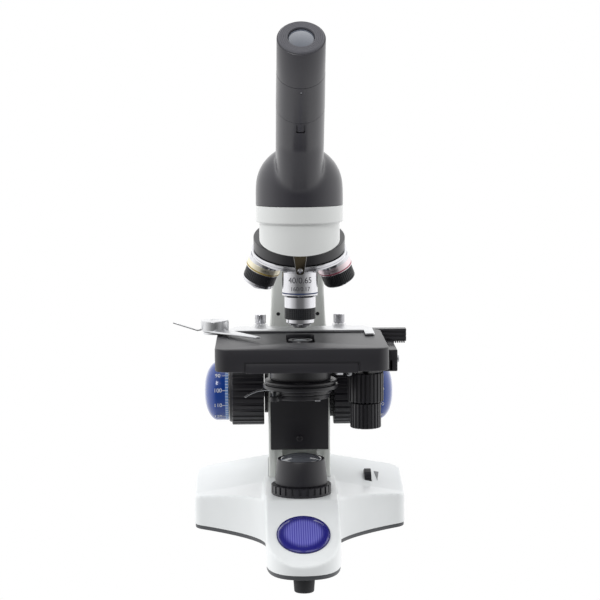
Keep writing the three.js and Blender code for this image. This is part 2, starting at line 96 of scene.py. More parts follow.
def buildKeyLight():
    data = bpy.data.lights.new("keyLight", "AREA")
    data.size = studio["keySize"]
    data.energy = studio["keyPower"]
    light = bpy.data.objects.new("keyLight", data)
    bpy.context.scene.collection.objects.link(light)
    light.location = studio["keySpot"]
    aim = Vector(studio["keyTarget"]) - Vector(studio["keySpot"])
    light.rotation_euler = aim.to_track_quat("-Z", "Y").to_euler()


def buildRoom():
    # white room: bright walls and ceiling, a dim camera side and floor, pure white behind
    world = bpy.data.worlds.new("whiteRoom")
    bpy.context.scene.world = world
    world.use_nodes = True
    tree = world.node_tree
    tree.nodes.clear()
    heading = addNode(tree, "ShaderNodeTexCoord").outputs["Generated"]
    parts = addNode(tree, "ShaderNodeSeparateXYZ", links={0: heading}).outputs
    fades = []
    for axis, start, end, near, far in (("Y", 0.15, -0.95, studio["wall"], studio["front"]),
                                        ("Y", -0.72, -0.98, 1.0, studio["behindCamera"]),
                                        ("Z", 0.1, -0.7, 1.0, studio["floor"])):
        fade = addNode(tree, "ShaderNodeMapRange",
                       {"interpolation_type": "SMOOTHSTEP", "From Min": start, "From Max": end,
                        "To Min": near, "To Max": far}, {0: parts[axis]})
        fades.append(fade.outputs[0])
    sides = addNode(tree, "ShaderNodeMath", {"operation": "MULTIPLY"}, {0: fades[0], 1: fades[1]})
    level = addNode(tree, "ShaderNodeMath", {"operation": "MULTIPLY"}, {0: sides.outputs[0], 1: fades[2]})
    cameraRay = addNode(tree, "ShaderNodeLightPath").outputs["Is Camera Ray"]
    seen = addNode(tree, "ShaderNodeMix", {"data_type": "FLOAT"}, {0: cameraRay, 2: level.outputs[0]})
    seen.inputs[3].default_value = 1.0
    background = addNode(tree, "ShaderNodeBackground", {"Color": (1, 1, 1, 1)}, {"Strength": seen.outputs[0]})
    addNode(tree, "ShaderNodeOutputWorld", links={"Surface": background.outputs[0]})
    settings = bpy.context.scene.view_settings
    settings.view_transform = "Standard"
    settings.look = "None"


# Material helpers
def colour(hexValue):        # an sRGB hex value as linear RGBA
    parts = [int(hexValue[i:i + 2], 16) / 255 for i in (1, 3, 5)]
    return tuple(c / 12.92 if c <= 0.04045 else ((c + 0.055) / 1.055) ** 2.4 for c in parts) + (1.0,)


def addNode(tree, kind, settings=None, links=None):
    node = tree.nodes.new(kind)
    for key, value in (settings or {}).items():
        if key in node.inputs:
            node.inputs[key].default_value = value
        else:
            setattr(node, key, value)
    for key, source in (links or {}).items():
        tree.links.new(source, node.inputs[key])
    return node


def newMaterial(name, **shader):
    material = bpy.data.materials.new(name)
    material.use_nodes = True
    tree = material.node_tree
    surface = tree.nodes["Principled BSDF"]
    for key, value in shader.items():
        surface.inputs[key.replace("_", " ")].default_value = value
    return material, tree, surface


def mixColour(tree, factor, first, second, surface):
    mix = addNode(tree, "ShaderNodeMix", {"data_type": "RGBA"})
    mix.inputs[6].default_value = first
    mix.inputs[7].default_value = second
    tree.links.new(factor, mix.inputs[0])
    tree.links.new(mix.outputs[2], surface.inputs["Base Color"])
    return mix


def roughAndRelief(tree, surface, pattern, roughness, bump, depth):
    spread = addNode(tree, "ShaderNodeMapRange", {"To Min": roughness[0], "To Max": roughness[1]},
                     {"Value": pattern})
    tree.links.new(spread.outputs["Result"], surface.inputs["Roughness"])
    relief = addNode(tree, "ShaderNodeBump", {"Strength": bump, "Distance": depth * mm}, {"Height": pattern})
    tree.links.new(relief.outputs["Normal"], surface.inputs["Normal"])


def grainAndTone(tree, surface, grain, tone, roughness, bump, depth):
    # grain: noise size in mm; tone: two colours; roughness: its low and high values
    place = addNode(tree, "ShaderNodeTexCoord").outputs["Object"]
    fine = addNode(tree, "ShaderNodeTexNoise", {"Scale": 1 / (grain * mm), "Detail": 3.0}, {"Vector": place})
    broad = addNode(tree, "ShaderNodeTexNoise", {"Scale": 1 / (24 * mm), "Detail": 2.0}, {"Vector": place})
    mixColour(tree, broad.outputs["Fac"], tone[0], tone[1], surface)
    roughAndRelief(tree, surface, fine.outputs["Fac"], roughness, bump, depth)


# Mesh helpers: sizes in mm, and place is the matrix that puts the shape where it belongs
def meshObject(name, bm):
    mesh = bpy.data.meshes.new(name)
    bm.normal_update()
    bm.to_mesh(mesh)
    bm.free()
    mesh.shade_smooth()
    mesh.set_sharp_from_angle(angle=radians(32))
    piece = bpy.data.objects.new(name, mesh)
    bpy.context.scene.collection.objects.link(piece)
    return piece


def finishPiece(name, shape, material, nodes, body=None):
    # nodes: the CAD nodes this piece stands for; a trim piece has none and names its body
    piece = shape if isinstance(shape, bpy.types.Object) else meshObject(name, shape)
    piece.name = name
    piece.data.materials.clear()
    piece.data.materials.append(material)
    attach(piece, body or bodyOf[nodes[0]])
    if nodes:
        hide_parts(*nodes)


def placed(shape, matrix):
    if isinstance(shape, bpy.types.Object):
        shape.data.transform(matrix)
    else:
        bmesh.ops.transform(shape, matrix=matrix, verts=shape.verts)
    return shape


def softenEdges(bm, width, segments=2, angle=30, only=None):
    edges = [e for e in bm.edges if len(e.link_faces) == 2 and e.calc_face_angle(0) > radians(angle)]
    if only:
        edges = [e for e in edges if only(e)]
    bmesh.ops.bevel(bm, geom=edges, offset=width * mm, offset_type="OFFSET", affect="EDGES",
                    segments=segments, profile=0.5, material=-1, clamp_overlap=True)


def softenedAndPlaced(bm, soft, place):
    if soft:
        softenEdges(bm, soft)
    return placed(bm, place) if place is not None else bm


def raised(bm, height):        # extrudes every face along +Z and returns the moved vertices
    top = bmesh.ops.extrude_face_region(bm, geom=list(bm.faces))["geom"]
    verts = [v for v in top if isinstance(v, bmesh.types.BMVert)]
    bmesh.ops.translate(bm, verts=verts, vec=(0, 0, height * mm))
    bmesh.ops.recalc_face_normals(bm, faces=bm.faces)
    return verts


def turned(profile, steps=96, soft=0.25, place=None):
    # profile: [radius, height] pairs about +Z, starting and ending on the axis or closing on itself
    bm = bmesh.new()
    closed = profile[0] == profile[-1] and profile[0][0] > 0
    points = profile[:-1] if closed else profile
    verts = [bm.verts.new((r * mm, 0, z * mm)) for r, z in points]
    pairs = list(zip(verts, verts[1:])) + ([(verts[-1], verts[0])] if closed else [])
    edges = [bm.edges.new(pair) for pair in pairs]
    bmesh.ops.spin(bm, geom=verts + edges, cent=(0, 0, 0), axis=(0, 0, 1), dvec=(0, 0, 0),
                   angle=2 * pi, steps=steps, use_merge=True)
    bmesh.ops.remove_doubles(bm, verts=bm.verts, dist=1e-6)
    bmesh.ops.recalc_face_normals(bm, faces=bm.faces)
    return softenedAndPlaced(bm, soft, place)


def rod(radius, low, high, steps=64, soft=0, place=None):
    return turned([[0, low], [radius, low], [radius, high], [0, high]], steps, soft, place)


def ringOf(inner, outer, low, high, steps, soft=0, place=None):
    profile = [[inner, low], [outer, low], [outer, high], [inner, high], [inner, low]]
    return turned(profile, steps, soft, place)


def prism(outline, low, high, place=None, soft=0):
    # outline: [x, y] pairs, counter-clockwise; extruded along +Z
    bm = bmesh.new()
    bm.faces.new([bm.verts.new((x * mm, y * mm, low * mm)) for x, y in outline])
    raised(bm, high - low)
    return softenedAndPlaced(bm, soft, place)


def block(x0, x1, y0, y1, z0, z1, soft=0.4, place=opticAxis):
    bm = bmesh.new()
    bmesh.ops.create_cube(bm, size=1)
    bmesh.ops.scale(bm, vec=((x1 - x0) * mm, (y1 - y0) * mm, (z1 - z0) * mm), verts=bm.verts)
    placed(bm, shifted((x0 + x1) / 2, (y0 + y1) / 2, (z0 + z1) / 2))
    return softenedAndPlaced(bm, soft, place)


def cutter(x0, x1, y0, y1, z0, z1):        # a plain block about the optical axis, to carve with
    return block(x0, x1, y0, y1, z0, z1, 0, None)


def arcPoints(x, y, radius, start, end, count):
    angles = [radians(start + (end - start) * i / count) for i in range(count + 1)]
    return [(x + radius * cos(a), y + radius * sin(a)) for a in angles]


def roundedOutline(x0, x1, y0, y1, radius, count=8):
    corners = ((x1 - radius, y0 + radius, -90), (x1 - radius, y1 - radius, 0),
               (x0 + radius, y1 - radius, 90), (x0 + radius, y0 + radius, 180))
    return [point for x, y, turn in corners for point in arcPoints(x, y, radius, turn, turn + 90, count)]


def curvePoints(points, count):        # a quadratic or cubic curve through its control points
    last = len(points) - 1
    weights = {2: (1, 2, 1), 3: (1, 3, 3, 1)}[last]
    line = []
    for i in range(1, count + 1):
        t = i / count
        parts = [w * (1 - t) ** (last - k) * t ** k for k, w in enumerate(weights)]
        line.append(tuple(sum(part * point[axis] for part, point in zip(parts, points)) for axis in (0, 1)))
    return line


def joined(*parts):        # several bmeshes as one
    whole = parts[0]
    for part in parts[1:]:
        spare = bpy.data.meshes.new("spare")
        part.to_mesh(spare)
        part.free()
        whole.from_mesh(spare)
        bpy.data.meshes.remove(spare)
    return whole


def applied(piece, *modifiers):        # adds modifiers, bakes them into the mesh and returns the piece
    for kind, settings in modifiers:
        modifier = piece.modifiers.new(kind.lower(), kind)
        for key, value in settings.items():
            setattr(modifier, key, value)
    depsgraph = bpy.context.evaluated_depsgraph_get()
    depsgraph.update()
    baked = bpy.data.meshes.new_from_object(piece.evaluated_get(depsgraph))
    piece.modifiers.clear()
    piece.data = baked
    baked.shade_smooth()
    baked.set_sharp_from_angle(angle=radians(32))
    return piece


def carved(body, *tools, operation="DIFFERENCE"):        # an exact boolean of bmeshes or objects
    piece = body if isinstance(body, bpy.types.Object) else meshObject("blank", body)
    for shape in tools:
        tool = meshObject("tool", shape)
        applied(piece, ("BOOLEAN", {"operation": operation, "object": tool, "solver": "EXACT"}))
        bpy.data.objects.remove(tool)
    return piece


def filleted(piece, width, angle):        # a fine bevel on the sharp edges that carving left
    return applied(piece, ("BEVEL", {"width": width * mm, "segments": 2, "limit_method": "ANGLE",
                                     "angle_limit": radians(angle)}))


def castSkin(piece, voxel, rounds):        # soft rounded edges of a die casting
    return applied(piece, ("REMESH", {"mode": "VOXEL", "voxel_size": voxel * mm}),
                   ("SMOOTH", {"factor": 0.5, "iterations": rounds}))


def grooved(radius, count, depth, low, high, share=0.5, soft=0.35, place=None):
    # a round grip whose side has count flutes, depth mm deep, over a share of each pitch
    bm = bmesh.new()
    perFlute = 8
    bmesh.ops.create_circle(bm, cap_ends=True, radius=radius * mm, segments=count * perFlute)
    for vert in bm.verts:
        phase = (atan2(vert.co.y, vert.co.x) / (2 * pi) * count) % 1
        if phase < share:
            reach = radius - depth * sin(pi * phase / share) ** 0.6
            vert.co *= reach / radius
    for vert in bm.verts:
        vert.co.z = low * mm
    raised(bm, high - low)
    caps = [f for f in bm.faces if len(f.verts) > perFlute]
    bmesh.ops.inset_region(bm, faces=caps, thickness=soft * mm, depth=soft * mm * 0.8, use_even_offset=True)
    return softenedAndPlaced(bm, 0, place)


def wireAlong(path, radius, sides):        # a round wire through points in mm, its ends capped
    bm = bmesh.new()
    rings = []
    last = len(path) - 1
    for i, point in enumerate(path):
        ahead = Vector(path[min(i + 1, last)]) - Vector(path[max(i - 1, 0)])
        made = bmesh.ops.create_circle(bm, cap_ends=i in (0, last), radius=radius * mm, segments=sides)["verts"]
        turn = shifted(*point) @ ahead.to_track_quat("Z", "Y").to_matrix().to_4x4()
        bmesh.ops.transform(bm, matrix=turn, verts=made)
        rings.append(made)
    for first, second in zip(rings, rings[1:]):
        for k in range(sides):
            bm.faces.new((first[k], first[(k + 1) % sides], second[(k + 1) % sides], second[k]))
    bmesh.ops.recalc_face_normals(bm, faces=bm.faces)
    return bm


def lettering(words, size):        # flat text in X-Y about the origin
    curve = bpy.data.curves.new("lettering", "FONT")
    curve.body = words
    curve.size = size * mm
    curve.align_x, curve.align_y = "CENTER", "CENTER"
    text = bpy.data.objects.new("lettering", curve)
    bpy.context.scene.collection.objects.link(text)
    bpy.context.view_layer.update()
    mesh = bpy.data.meshes.new_from_object(text.evaluated_get(bpy.context.evaluated_depsgraph_get()))
    bpy.data.objects.remove(text)
    bm = bmesh.new()
    bm.from_mesh(mesh)
    bpy.data.meshes.remove(mesh)
    return bm


# Materials, each named for the real finish, but for two darker copies of the white powder coat that paint shade on the
# arm and the bowl, and a lighter charcoal that paints light on the eyepiece's top face
def powderCoat(name, dark, light):      # baked epoxy powder: satin white with a faint orange peel
    material, tree, surface = newMaterial(name, IOR=1.5, Coat_Weight=0.14, Coat_Roughness=0.27)
    grainAndTone(tree, surface, 1.1, (colour(dark), colour(light)), (0.31, 0.42), 0.06, 0.05)
    return material


def mouldedPlastic(name, dark, light, grain=0.6, rough=(0.38, 0.5), bump=0.12):
    # ABS from a spark-eroded mould: a fine even texture that scatters the highlight
    material, tree, surface = newMaterial(name, IOR=1.52)
    grainAndTone(tree, surface, grain, (colour(dark), colour(light)), rough, bump, 0.04)
    return material


def platedMetal(name, base, rough, stretch=1.0):
    # chrome or nickel plate: fine turning lines that blur the reflection slightly
    material, tree, surface = newMaterial(name, Metallic=1.0)
    place = addNode(tree, "ShaderNodeTexCoord").outputs["Object"]
    squeeze = addNode(tree, "ShaderNodeMapping", {"Scale": (1, 1, stretch)}, {"Vector": place})
    lines = addNode(tree, "ShaderNodeTexNoise", {"Scale": 1 / (0.8 * mm), "Detail": 2.0},
                    {"Vector": squeeze.outputs["Vector"]})
    tone = colour(base)
    dim = tuple(c * 0.9 for c in tone[:3]) + (1,)
    mixColour(tree, lines.outputs["Fac"], dim, tone, surface)
    roughAndRelief(tree, surface, lines.outputs["Fac"], (rough * 0.8, rough * 1.3), 0.04, 0.02)
    return material


def glossPlastic(name, dark, light):        # polished polycarbonate: deep colour under a clear gloss
    material, tree, surface = newMaterial(name, IOR=1.5, Coat_Weight=0.2, Coat_Roughness=0.05)
    grainAndTone(tree, surface, 2.0, (colour(dark), colour(light)), (0.1, 0.16), 0.02, 0.02)
    return material


def opticalGlass():     # polished crown glass with a faint cool coating
    material, tree, surface = newMaterial("opticalGlass", IOR=1.52, Transmission_Weight=0.85, Coat_Weight=0.3)
    grainAndTone(tree, surface, 4, (colour("#dfe8ee"), colour("#f2f6f8")), (0.02, 0.05), 0.0, 0.01)
    return material


def coatedLens(name, dark, light):     # a lens with black depths behind it: glossy, tinted by its coating
    material, tree, surface = newMaterial(name, IOR=1.7, Coat_Weight=1.0, Coat_Roughness=0.02)
    grainAndTone(tree, surface, 5, (colour(dark), colour(light)), (0.04, 0.08), 0.0, 0.01)
    return material


def padInk(name, base):     # pad-printed ink: flat, thin, slightly uneven
    material, tree, surface = newMaterial(name, IOR=1.45)
    tone = colour(base)
    dim = tuple(c * 0.92 for c in tone[:3]) + (1,)
    grainAndTone(tree, surface, 0.5, (dim, tone), (0.45, 0.55), 0.03, 0.01)
    return material


print("materials")
whitePaint = powderCoat("whitePowderCoat", "#e2e5e6", "#eaedee")
# the white powder coat made greyer and greener for the arm: painted shade
shadedArmPaint = powderCoat("armPaintedShadePowderCoat", "#dcdfdb", "#e4e7e3")
# the white powder coat made darker for the head's bowl: painted shade
shadedBowlPaint = powderCoat("bowlPaintedShadePowderCoat", "#d6d8d7", "#dee0df")
plateGrey = mouldedPlastic("darkGreyPlate", "#3c3e42", "#46484c", rough=(0.45, 0.55))
blackAbs = mouldedPlastic("blackMouldedAbs", "#1d1c21", "#232228")
gripAbs = mouldedPlastic("blackGripAbs", "#1b1a1f", "#222127", rough=(0.34, 0.45))
headAbs = mouldedPlastic("charcoalMouldedAbs", "#2a292f", "#333239", 0.5, (0.26, 0.34), 0.1)
# a lighter copy of the charcoal for the eyepiece's top face: painted light on the upward face
rimAbsPaintedLight = mouldedPlastic("satinCharcoalAbsPaintedLight", "#4a4a50", "#56565d", 0.5, (0.4, 0.5), 0.1)
blackEnamel = mouldedPlastic("blackStoveEnamel", "#1c1b20", "#242328", 0.9, (0.3, 0.4), 0.08)
stageEnamel = mouldedPlastic("stageBlackEnamel", "#1c1b20", "#222127", 0.5, (0.4, 0.5), 0.1)
footRubber = mouldedPlastic("mouldedRubber", "#26272a", "#2c2d30", 0.8, (0.65, 0.8), 0.2)
knurlBlack = mouldedPlastic("blackAnodisedKnurl", "#1f2023", "#2b2c30", 0.3, (0.26, 0.36))
boardGreen = mouldedPlastic("solderMaskGreen", "#1f5b33", "#27683c")
chrome = platedMetal("polishedChrome", "#d2d2d6", 0.15)
springSteel = platedMetal("bronzedSpringSteel", "#5f5645", 0.28)
blackenedSteel = platedMetal("blackenedSteel", "#3a3b3e", 0.3)
satinNickel = platedMetal("satinNickelSheet", "#cfd0d2", 0.3, 0.15)
brightSteel = platedMetal("turnedBrightSteel", "#b9babd", 0.22)
brassMetal = platedMetal("machinedBrass", "#b8954e", 0.25)
paleGold = platedMetal("champagneAnodising", "#e6dfc8", 0.32)
paleRose = platedMetal("roseAnodising", "#e6d6da", 0.32)
blueGloss = glossPlastic("bluePolycarbonate", "#123a8c", "#184398")
bandGloss = glossPlastic("paleBlueBand", "#6f93cf", "#7d9fd6")
navyGloss = glossPlastic("navyRim", "#1b1a5c", "#201f66")
whiteInk = padInk("whitePadInk", "#f4f6fa")
greyInk = padInk("greyPadInk", "#77797d")
blackInk = padInk("blackFilledEngraving", "#24232c")
blueInk = padInk("blueRingInk", "#16305f")
yellowInk = padInk("yellowRingInk", "#a98f3c")
redInk = padInk("redRingInk", "#a8455a")
glass = opticalGlass()
eyeGlass = coatedLens("coatedEyeLens", "#50555f", "#6c727e")
lampGlass = coatedLens("lampCollectorLens", "#4c4e54", "#66696f")

# Base casting: a flat-topped prow with a slope down to its nose, and two wings with low roofs
base = {
    "bottom": 15.5, "plateBottom": 12.5, "platform": 49.5, "prowHalf": 24.8, "wingHalf": 75.5,
    "wingFront": 62, "rear": 113, "nose": -95.5, "voxel": 1.05, "smoothing": 7,
    "slopeFoot": (-90, 24.5), "slopeHead": (-28, 48), "eaves": 38, "ridge": 0.17, "climb": 0.2,
}


def baseOutline(inset=0):
    half, wing = base["prowHalf"] - inset, base["wingHalf"] - inset
    nose, rear = base["nose"] + inset, base["rear"] - inset
    right = [(0, nose)]
    right += curvePoints([(0, nose), (14, nose), (half - 1, -88), (half, -62)], 14)
    right += curvePoints([(half, -62), (half, -34), (half, -7)], 3)
    right += curvePoints([(half, -7), (half + 1.2, 14), (52, 38 + inset), (70 - inset, 51 + inset)], 16)
    right += curvePoints([(70 - inset, 51 + inset), (wing, 55 + inset), (wing, 62)], 6)
    right += curvePoints([(wing, 62), (wing, 80), (wing, 103)], 3)
    right += curvePoints([(wing, 103), (wing, rear - 1), (66, rear)], 7)
    return right + [(-x, y) for x, y in reversed(right[1:])]


def roofHeight(x, y):
    return base["eaves"] + base["ridge"] * (65 - abs(x)) + base["climb"] * max(0, y - base["wingFront"])


def wingRoof():
    bm = bmesh.new()
    bmesh.ops.create_grid(bm, x_segments=2, y_segments=2, size=1)
    rows = {-1: -20, 0: base["wingFront"], 1: 125}
    for vert in bm.verts:
        x, y = round(vert.co.x) * 80, rows[round(vert.co.y)]
        vert.co = (x * mm, y * mm, roofHeight(x, y) * mm)
    for vert in raised(bm, 0):
        vert.co.z = (base["bottom"] - 5) * mm
    bmesh.ops.recalc_face_normals(bm, faces=bm.faces)
    return bm


def prowBody():
    low, top, half = base["bottom"] - 5, base["platform"], base["prowHalf"] + 0.5
    side = [(-97, low), (60, low), (60, top), (-24, top), base["slopeHead"], base["slopeFoot"], (-97, 20.5)]
    return prism(side, -half, half, sideOn)


def slopePlace(y):       # on the prow's sloping face at this y, with +Z out of it
    (footY, footZ), (headY, headZ) = base["slopeFoot"], base["slopeHead"]
    slope = (headZ - footZ) / (headY - footY)
    return opticAxis @ shifted(0, y, footZ + (y - footY) * slope) @ Matrix.Rotation(atan2(slope, 1), 4, "X")


badge = {"y": -63, "half": 17.4, "seat": 17.7, "stretch": 1.22, "stripe": 1.5,
         "middle": "#4644a6", "stripes": "#7a7ac8", "edge": "#211f78"}
dimmer = {"y": 83, "z": 37.1, "radius": 12, "teeth": 40}
inlet = {"x": -38, "z": 24}


def ovalPrism(halfWidth, low, high):
    bm = bmesh.new()
    bmesh.ops.create_circle(bm, cap_ends=True, radius=halfWidth * mm, segments=72)
    bmesh.ops.scale(bm, vec=(1, badge["stretch"], 1), verts=bm.verts)
    placed(bm, shifted(0, 0, low))
    raised(bm, high - low)
    return bm


def buildBase():
    outline = prism(baseOutline(), base["bottom"] - 6, 70)
    shell = carved(carved(wingRoof(), prowBody(), operation="UNION"), outline, operation="INTERSECT")
    castSkin(shell, base["voxel"], base["smoothing"])
    under = cutter(-90, 90, -110, 130, 0, base["bottom"])
    wheelSlot = rod(12.4, 47.4, 52.6, 48, 0, shifted(0, dimmer["y"], dimmer["z"]) @ toRight)
    jackHole = rod(6.3, 100, 120, 40, 0, shifted(inlet["x"], 0, inlet["z"]) @ toRear)
    footPocket = cutter(-22.3, 22.3, 54.2, 106, 40, 80)
    placed(carved(shell, under, wheelSlot, jackHole, footPocket), opticAxis)
    carved(shell, placed(ovalPrism(badge["seat"], -0.7, 6), slopePlace(badge["y"])))
    finishPiece("baseShell", shell, whitePaint, ["base_shell"])
    plate = prism(baseOutline(0.5), base["plateBottom"], base["bottom"] - 0.15, opticAxis, 0.5)
    finishPiece("basePlate", plate, plateGrey, ["base_plate"])
    for node in ("foot_front", "foot_rear_left", "foot_rear_right"):
        spot = centreOf(node)
        foot = turned([[0, 0], [6.1, 0], [6.5, 0.5], [7.4, 12.2], [0, 12.2]], 64, 0.3,
                      Matrix.Translation((spot.x, spot.y, 0)))
        finishPiece("rubber_" + node, foot, footRubber, [node])


def domedEnamel(place):     # clear-coated enamel, dark at its rim and finely striped in the middle
    material, tree, surface = newMaterial("blueDomedEnamel", IOR=1.5, Coat_Weight=1.0, Coat_Roughness=0.04,
                                          Roughness=0.25)
    spot = addNode(tree, "ShaderNodeTexCoord").outputs["Object"]
    fromMiddle = addNode(tree, "ShaderNodeVectorMath", {"operation": "SUBTRACT"}, {0: spot})
    fromMiddle.inputs[1].default_value = place.translation
    squash = addNode(tree, "ShaderNodeVectorMath", {"operation": "MULTIPLY"}, {0: fromMiddle.outputs["Vector"]})
    squash.inputs[1].default_value = (1, 0.88, 0)
    reach = addNode(tree, "ShaderNodeVectorMath", {"operation": "LENGTH"}, {0: squash.outputs["Vector"]})
    fade = addNode(tree, "ShaderNodeMapRange",
                   {"From Min": 10 * mm, "From Max": 14.5 * mm, "interpolation_type": "SMOOTHSTEP"},
                   {"Value": reach.outputs["Value"]})
    stripes = addNode(tree, "ShaderNodeTexWave", {"wave_type": "BANDS", "bands_direction": "X",
                                                  "Scale": 0.32 / (badge["stripe"] * mm)}, {"Vector": spot})
    lit = mixColour(tree, stripes.outputs["Fac"], colour(badge["middle"]), colour(badge["stripes"]), surface)
    mix = mixColour(tree, fade.outputs["Result"], colour(badge["middle"]), colour(badge["edge"]), surface)
    tree.links.new(lit.outputs[2], mix.inputs[6])
    return material


def buildBadge():
    place = slopePlace(badge["y"])
    dome = ovalPrism(badge["half"], -0.5, 0.55)
    caps = [f for f in dome.faces if f.normal.z > 0.9]
    for step, rise in ((2.2, 0.5), (3.4, 0.4), (4.5, 0.25)):
        bmesh.ops.inset_region(dome, faces=caps, thickness=step * mm, depth=0)
        for face in caps:
            bmesh.ops.translate(dome, verts=list(face.verts), vec=(0, 0, rise * mm))
    softenEdges(dome, 0.3, 3, 40)
    finishPiece("ovalBadge", placed(dome, place), domedEnamel(place), ["badge"])
    rim = carved(ovalPrism(badge["seat"] - 0.05, -0.6, 0.75), ovalPrism(badge["half"] - 0.3, -2, 3))
    finishPiece("badgeRim", placed(rim, place), navyGloss, [], "stand")


def buildDimmer():
    hub = opticAxis @ shifted(0, dimmer["y"], dimmer["z"]) @ toRight
    wheel = grooved(dimmer["radius"], dimmer["teeth"], 0.45, 47.8, 52.2, 0.5, 0.3, hub)
    finishPiece("dimmerWheel", wheel, gripAbs, ["dimmer_wheel"])
    mark = prism([(55.0, 91), (56.7, 74.5), (58.6, 91)], 0, 0.25)
    for vert in mark.verts:
        vert.co.z += (roofHeight(vert.co.x / mm, vert.co.y / mm) - 0.02) * mm
    finishPiece("dimmerMark", placed(mark, opticAxis), greyInk, [], "stand")


def buildInlet():       # the low-voltage socket at the rear and the pin inside it
    place = opticAxis @ shifted(inlet["x"], 0, inlet["z"]) @ toRear
    socket = turned([[3.15, 98], [6, 98], [6, 113.4], [6.15, 113.4], [6.15, 114.4], [5.4, 114.6], [3.4, 114.6],
                     [3.15, 114], [3.15, 98]], 64, 0.15, place)
    finishPiece("dcInlet", socket, blackAbs, ["dc_inlet"])
    pin = turned([[0, 98.5], [1, 98.5], [1, 112.4], [0.6, 113], [0, 113]], 32, 0.1, place)
    finishPiece("inletPin", pin, brightSteel, [], "stand")


# Lamp: a tapered housing on a notched ring, with a domed collector lens
lamp = {"floor": base["platform"] + 0.3, "notches": 26, "notchHalf": 0.9, "ringOuter": 20.5, "ringTop": 56,
        "lensRadius": 14.4, "lensSeat": 70.6, "lensRise": 4.6}


def buildLamp():
    low, top, outer = lamp["floor"], lamp["ringTop"], lamp["ringOuter"]
    housing = turned([[0, low], [17.4, low], [17.4, 56.4], [17.7, 56.5], [18.0, 57.2], [16.4, 72.8], [16.0, 73.6],
                      [15.2, 73.7], [14.8, 73.2], [14.8, 70.2], [12.6, 70.2], [12.6, 52.5], [0, 52.5]],
                     112, 0.3, opticAxis)
    finishPiece("lampHousing", housing, blackAbs, ["lamp_housing"])
    body = turned([[17.7, low], [outer, low], [outer, top - 0.2], [outer - 0.3, top], [17.7, top], [17.7, low]], 144, 0)
    notches = []
    for i in range(lamp["notches"]):
        turn = Matrix.Rotation((i + 0.25) * 2 * pi / lamp["notches"], 4, "Z")
        notches.append(block(outer - 0.9, 22, -lamp["notchHalf"], lamp["notchHalf"], low + 1.3, 57, 0, turn))
    finishPiece("lampRing", placed(carved(body, joined(*notches)), opticAxis), gripAbs, ["lamp_ring"])
    radius, seat, rise = lamp["lensRadius"], lamp["lensSeat"], lamp["lensRise"]
    crown = [[radius * sin(radians(a)), seat + 1.6 + rise * cos(radians(a))] for a in range(84, 0, -6)]
    profile = [[0, seat], [radius, seat], [radius, seat + 1]] + crown + [[0, seat + 1.6 + rise]]
    finishPiece("lampLens", turned(profile, 96, 0, opticAxis), lampGlass, ["lamp_lens"])
    chip = turned([[0, 52.8], [9, 52.8], [9, 54.4], [3, 54.8], [2.4, 56.4], [1.4, 57.3], [0, 57.5]],
                  48, 0.1, opticAxis)
    finishPiece("ledModule", chip, brightSteel, ["led_module"])


# Arm casting: its profile is a side outline cut by a waisted front outline
arm = {"rear": 111.5, "setBack": 82, "column": 54.5, "half": 22, "waist": 19, "seat": 247.2,
       "voxel": 1.2, "smoothing": 10, "screwX": 14.2, "screwZ": 163.5}
focus = {"y": 75, "z": 109}         # the axis that the coarse and fine knobs share


def armSide():
    rear, back, column, seat = arm["rear"], arm["setBack"], arm["column"], arm["seat"]
    side = [(column, 40.3), (column, 118)]
    side += curvePoints([(column, 118), (column, 126), (column + 8, 126)], 5)
    side += [(back - 6, 126)] + curvePoints([(back - 6, 126), (back, 126), (back, 133)], 5)
    side += [(back, 200)] + curvePoints([(back, 200), (back, 225), (74, 238.6), (58, 238.6)], 12)
    side += [(20, 238.6), (20, seat), (58, seat)]
    side += curvePoints([(58, seat), (92, seat), (rear, 236), (rear, 200)], 14)
    side += [(rear, 120)] + curvePoints([(rear, 120), (rear, 100), (rear - 6, 90), (rear - 6, 70)], 8)
    return side + [(rear - 6, 40.3)]


def armFront():
    half, waist = arm["half"], arm["waist"]
    right = [(half, 38), (half, 140)] + curvePoints([(half, 140), (waist, 165), (waist, 190)], 8)
    right += curvePoints([(waist, 190), (waist, 215), (24, 232)], 8) + [(26, 252)]
    return right + [(-x, z) for x, z in reversed(right)]


def buildArm():
    body = carved(prism(armSide(), -40, 40, sideOn), prism(armFront(), 0, 140, frontOn), operation="INTERSECT")
    castSkin(body, arm["voxel"], arm["smoothing"])
    cuts = [cutter(-12.3, 12.3, 50, 70.4, 56, 130), rod(29.75, 225, 260, 96),
            cutter(-17.5, 17.5, 50, 56.2, 30, 68)]
    for side, x in (("left", -arm["screwX"]), ("right", arm["screwX"])):
        hole = shifted(x, 84, arm["screwZ"]) @ toFront
        cuts.append(rod(1.4, -4, 6, 24, 0, hole))
        screw = rod(1.35, -1.2, 0.9, 24, 0, opticAxis @ hole)
        finishPiece("armScrew_" + side, screw, blackEnamel, [], "stand")
    cuts.append(rod(5, -30, 30, 40, 0, shifted(0, focus["y"], focus["z"]) @ toRight))
    # the arm's greyer coat is painted shade
    finishPiece("arm", placed(carved(body, *cuts), opticAxis), shadedArmPaint, ["arm"])


# Focus knobs: places are distances out along their shaft, and the dial's numbers are read from the front
focusAxis = {"right": opticAxis @ shifted(0, focus["y"], focus["z"]) @ toRight,
             "left": opticAxis @ shifted(0, focus["y"], focus["z"]) @ toLeft}
dial = {"radius": 21.0, "numbers": range(10, 121, 10), "ticksPerNumber": 5, "height": 4.0, "offset": 9.0,
        "numberAt": {"right": 57.6, "left": 57.9}, "tickAt": 50.6, "longTick": 4.2, "shortTick": 1.9}


def wrapOnDial(bm, angle, outward, sign):       # X goes out along the shaft, Y round the knob
    reach = (dial["radius"] + 0.12) * mm
    for vert in bm.verts:
        turn = angle + vert.co.y / (dial["radius"] * mm)
        vert.co = (sign * outward * mm + vert.co.x, -reach * cos(turn), reach * sin(turn))
    return bm


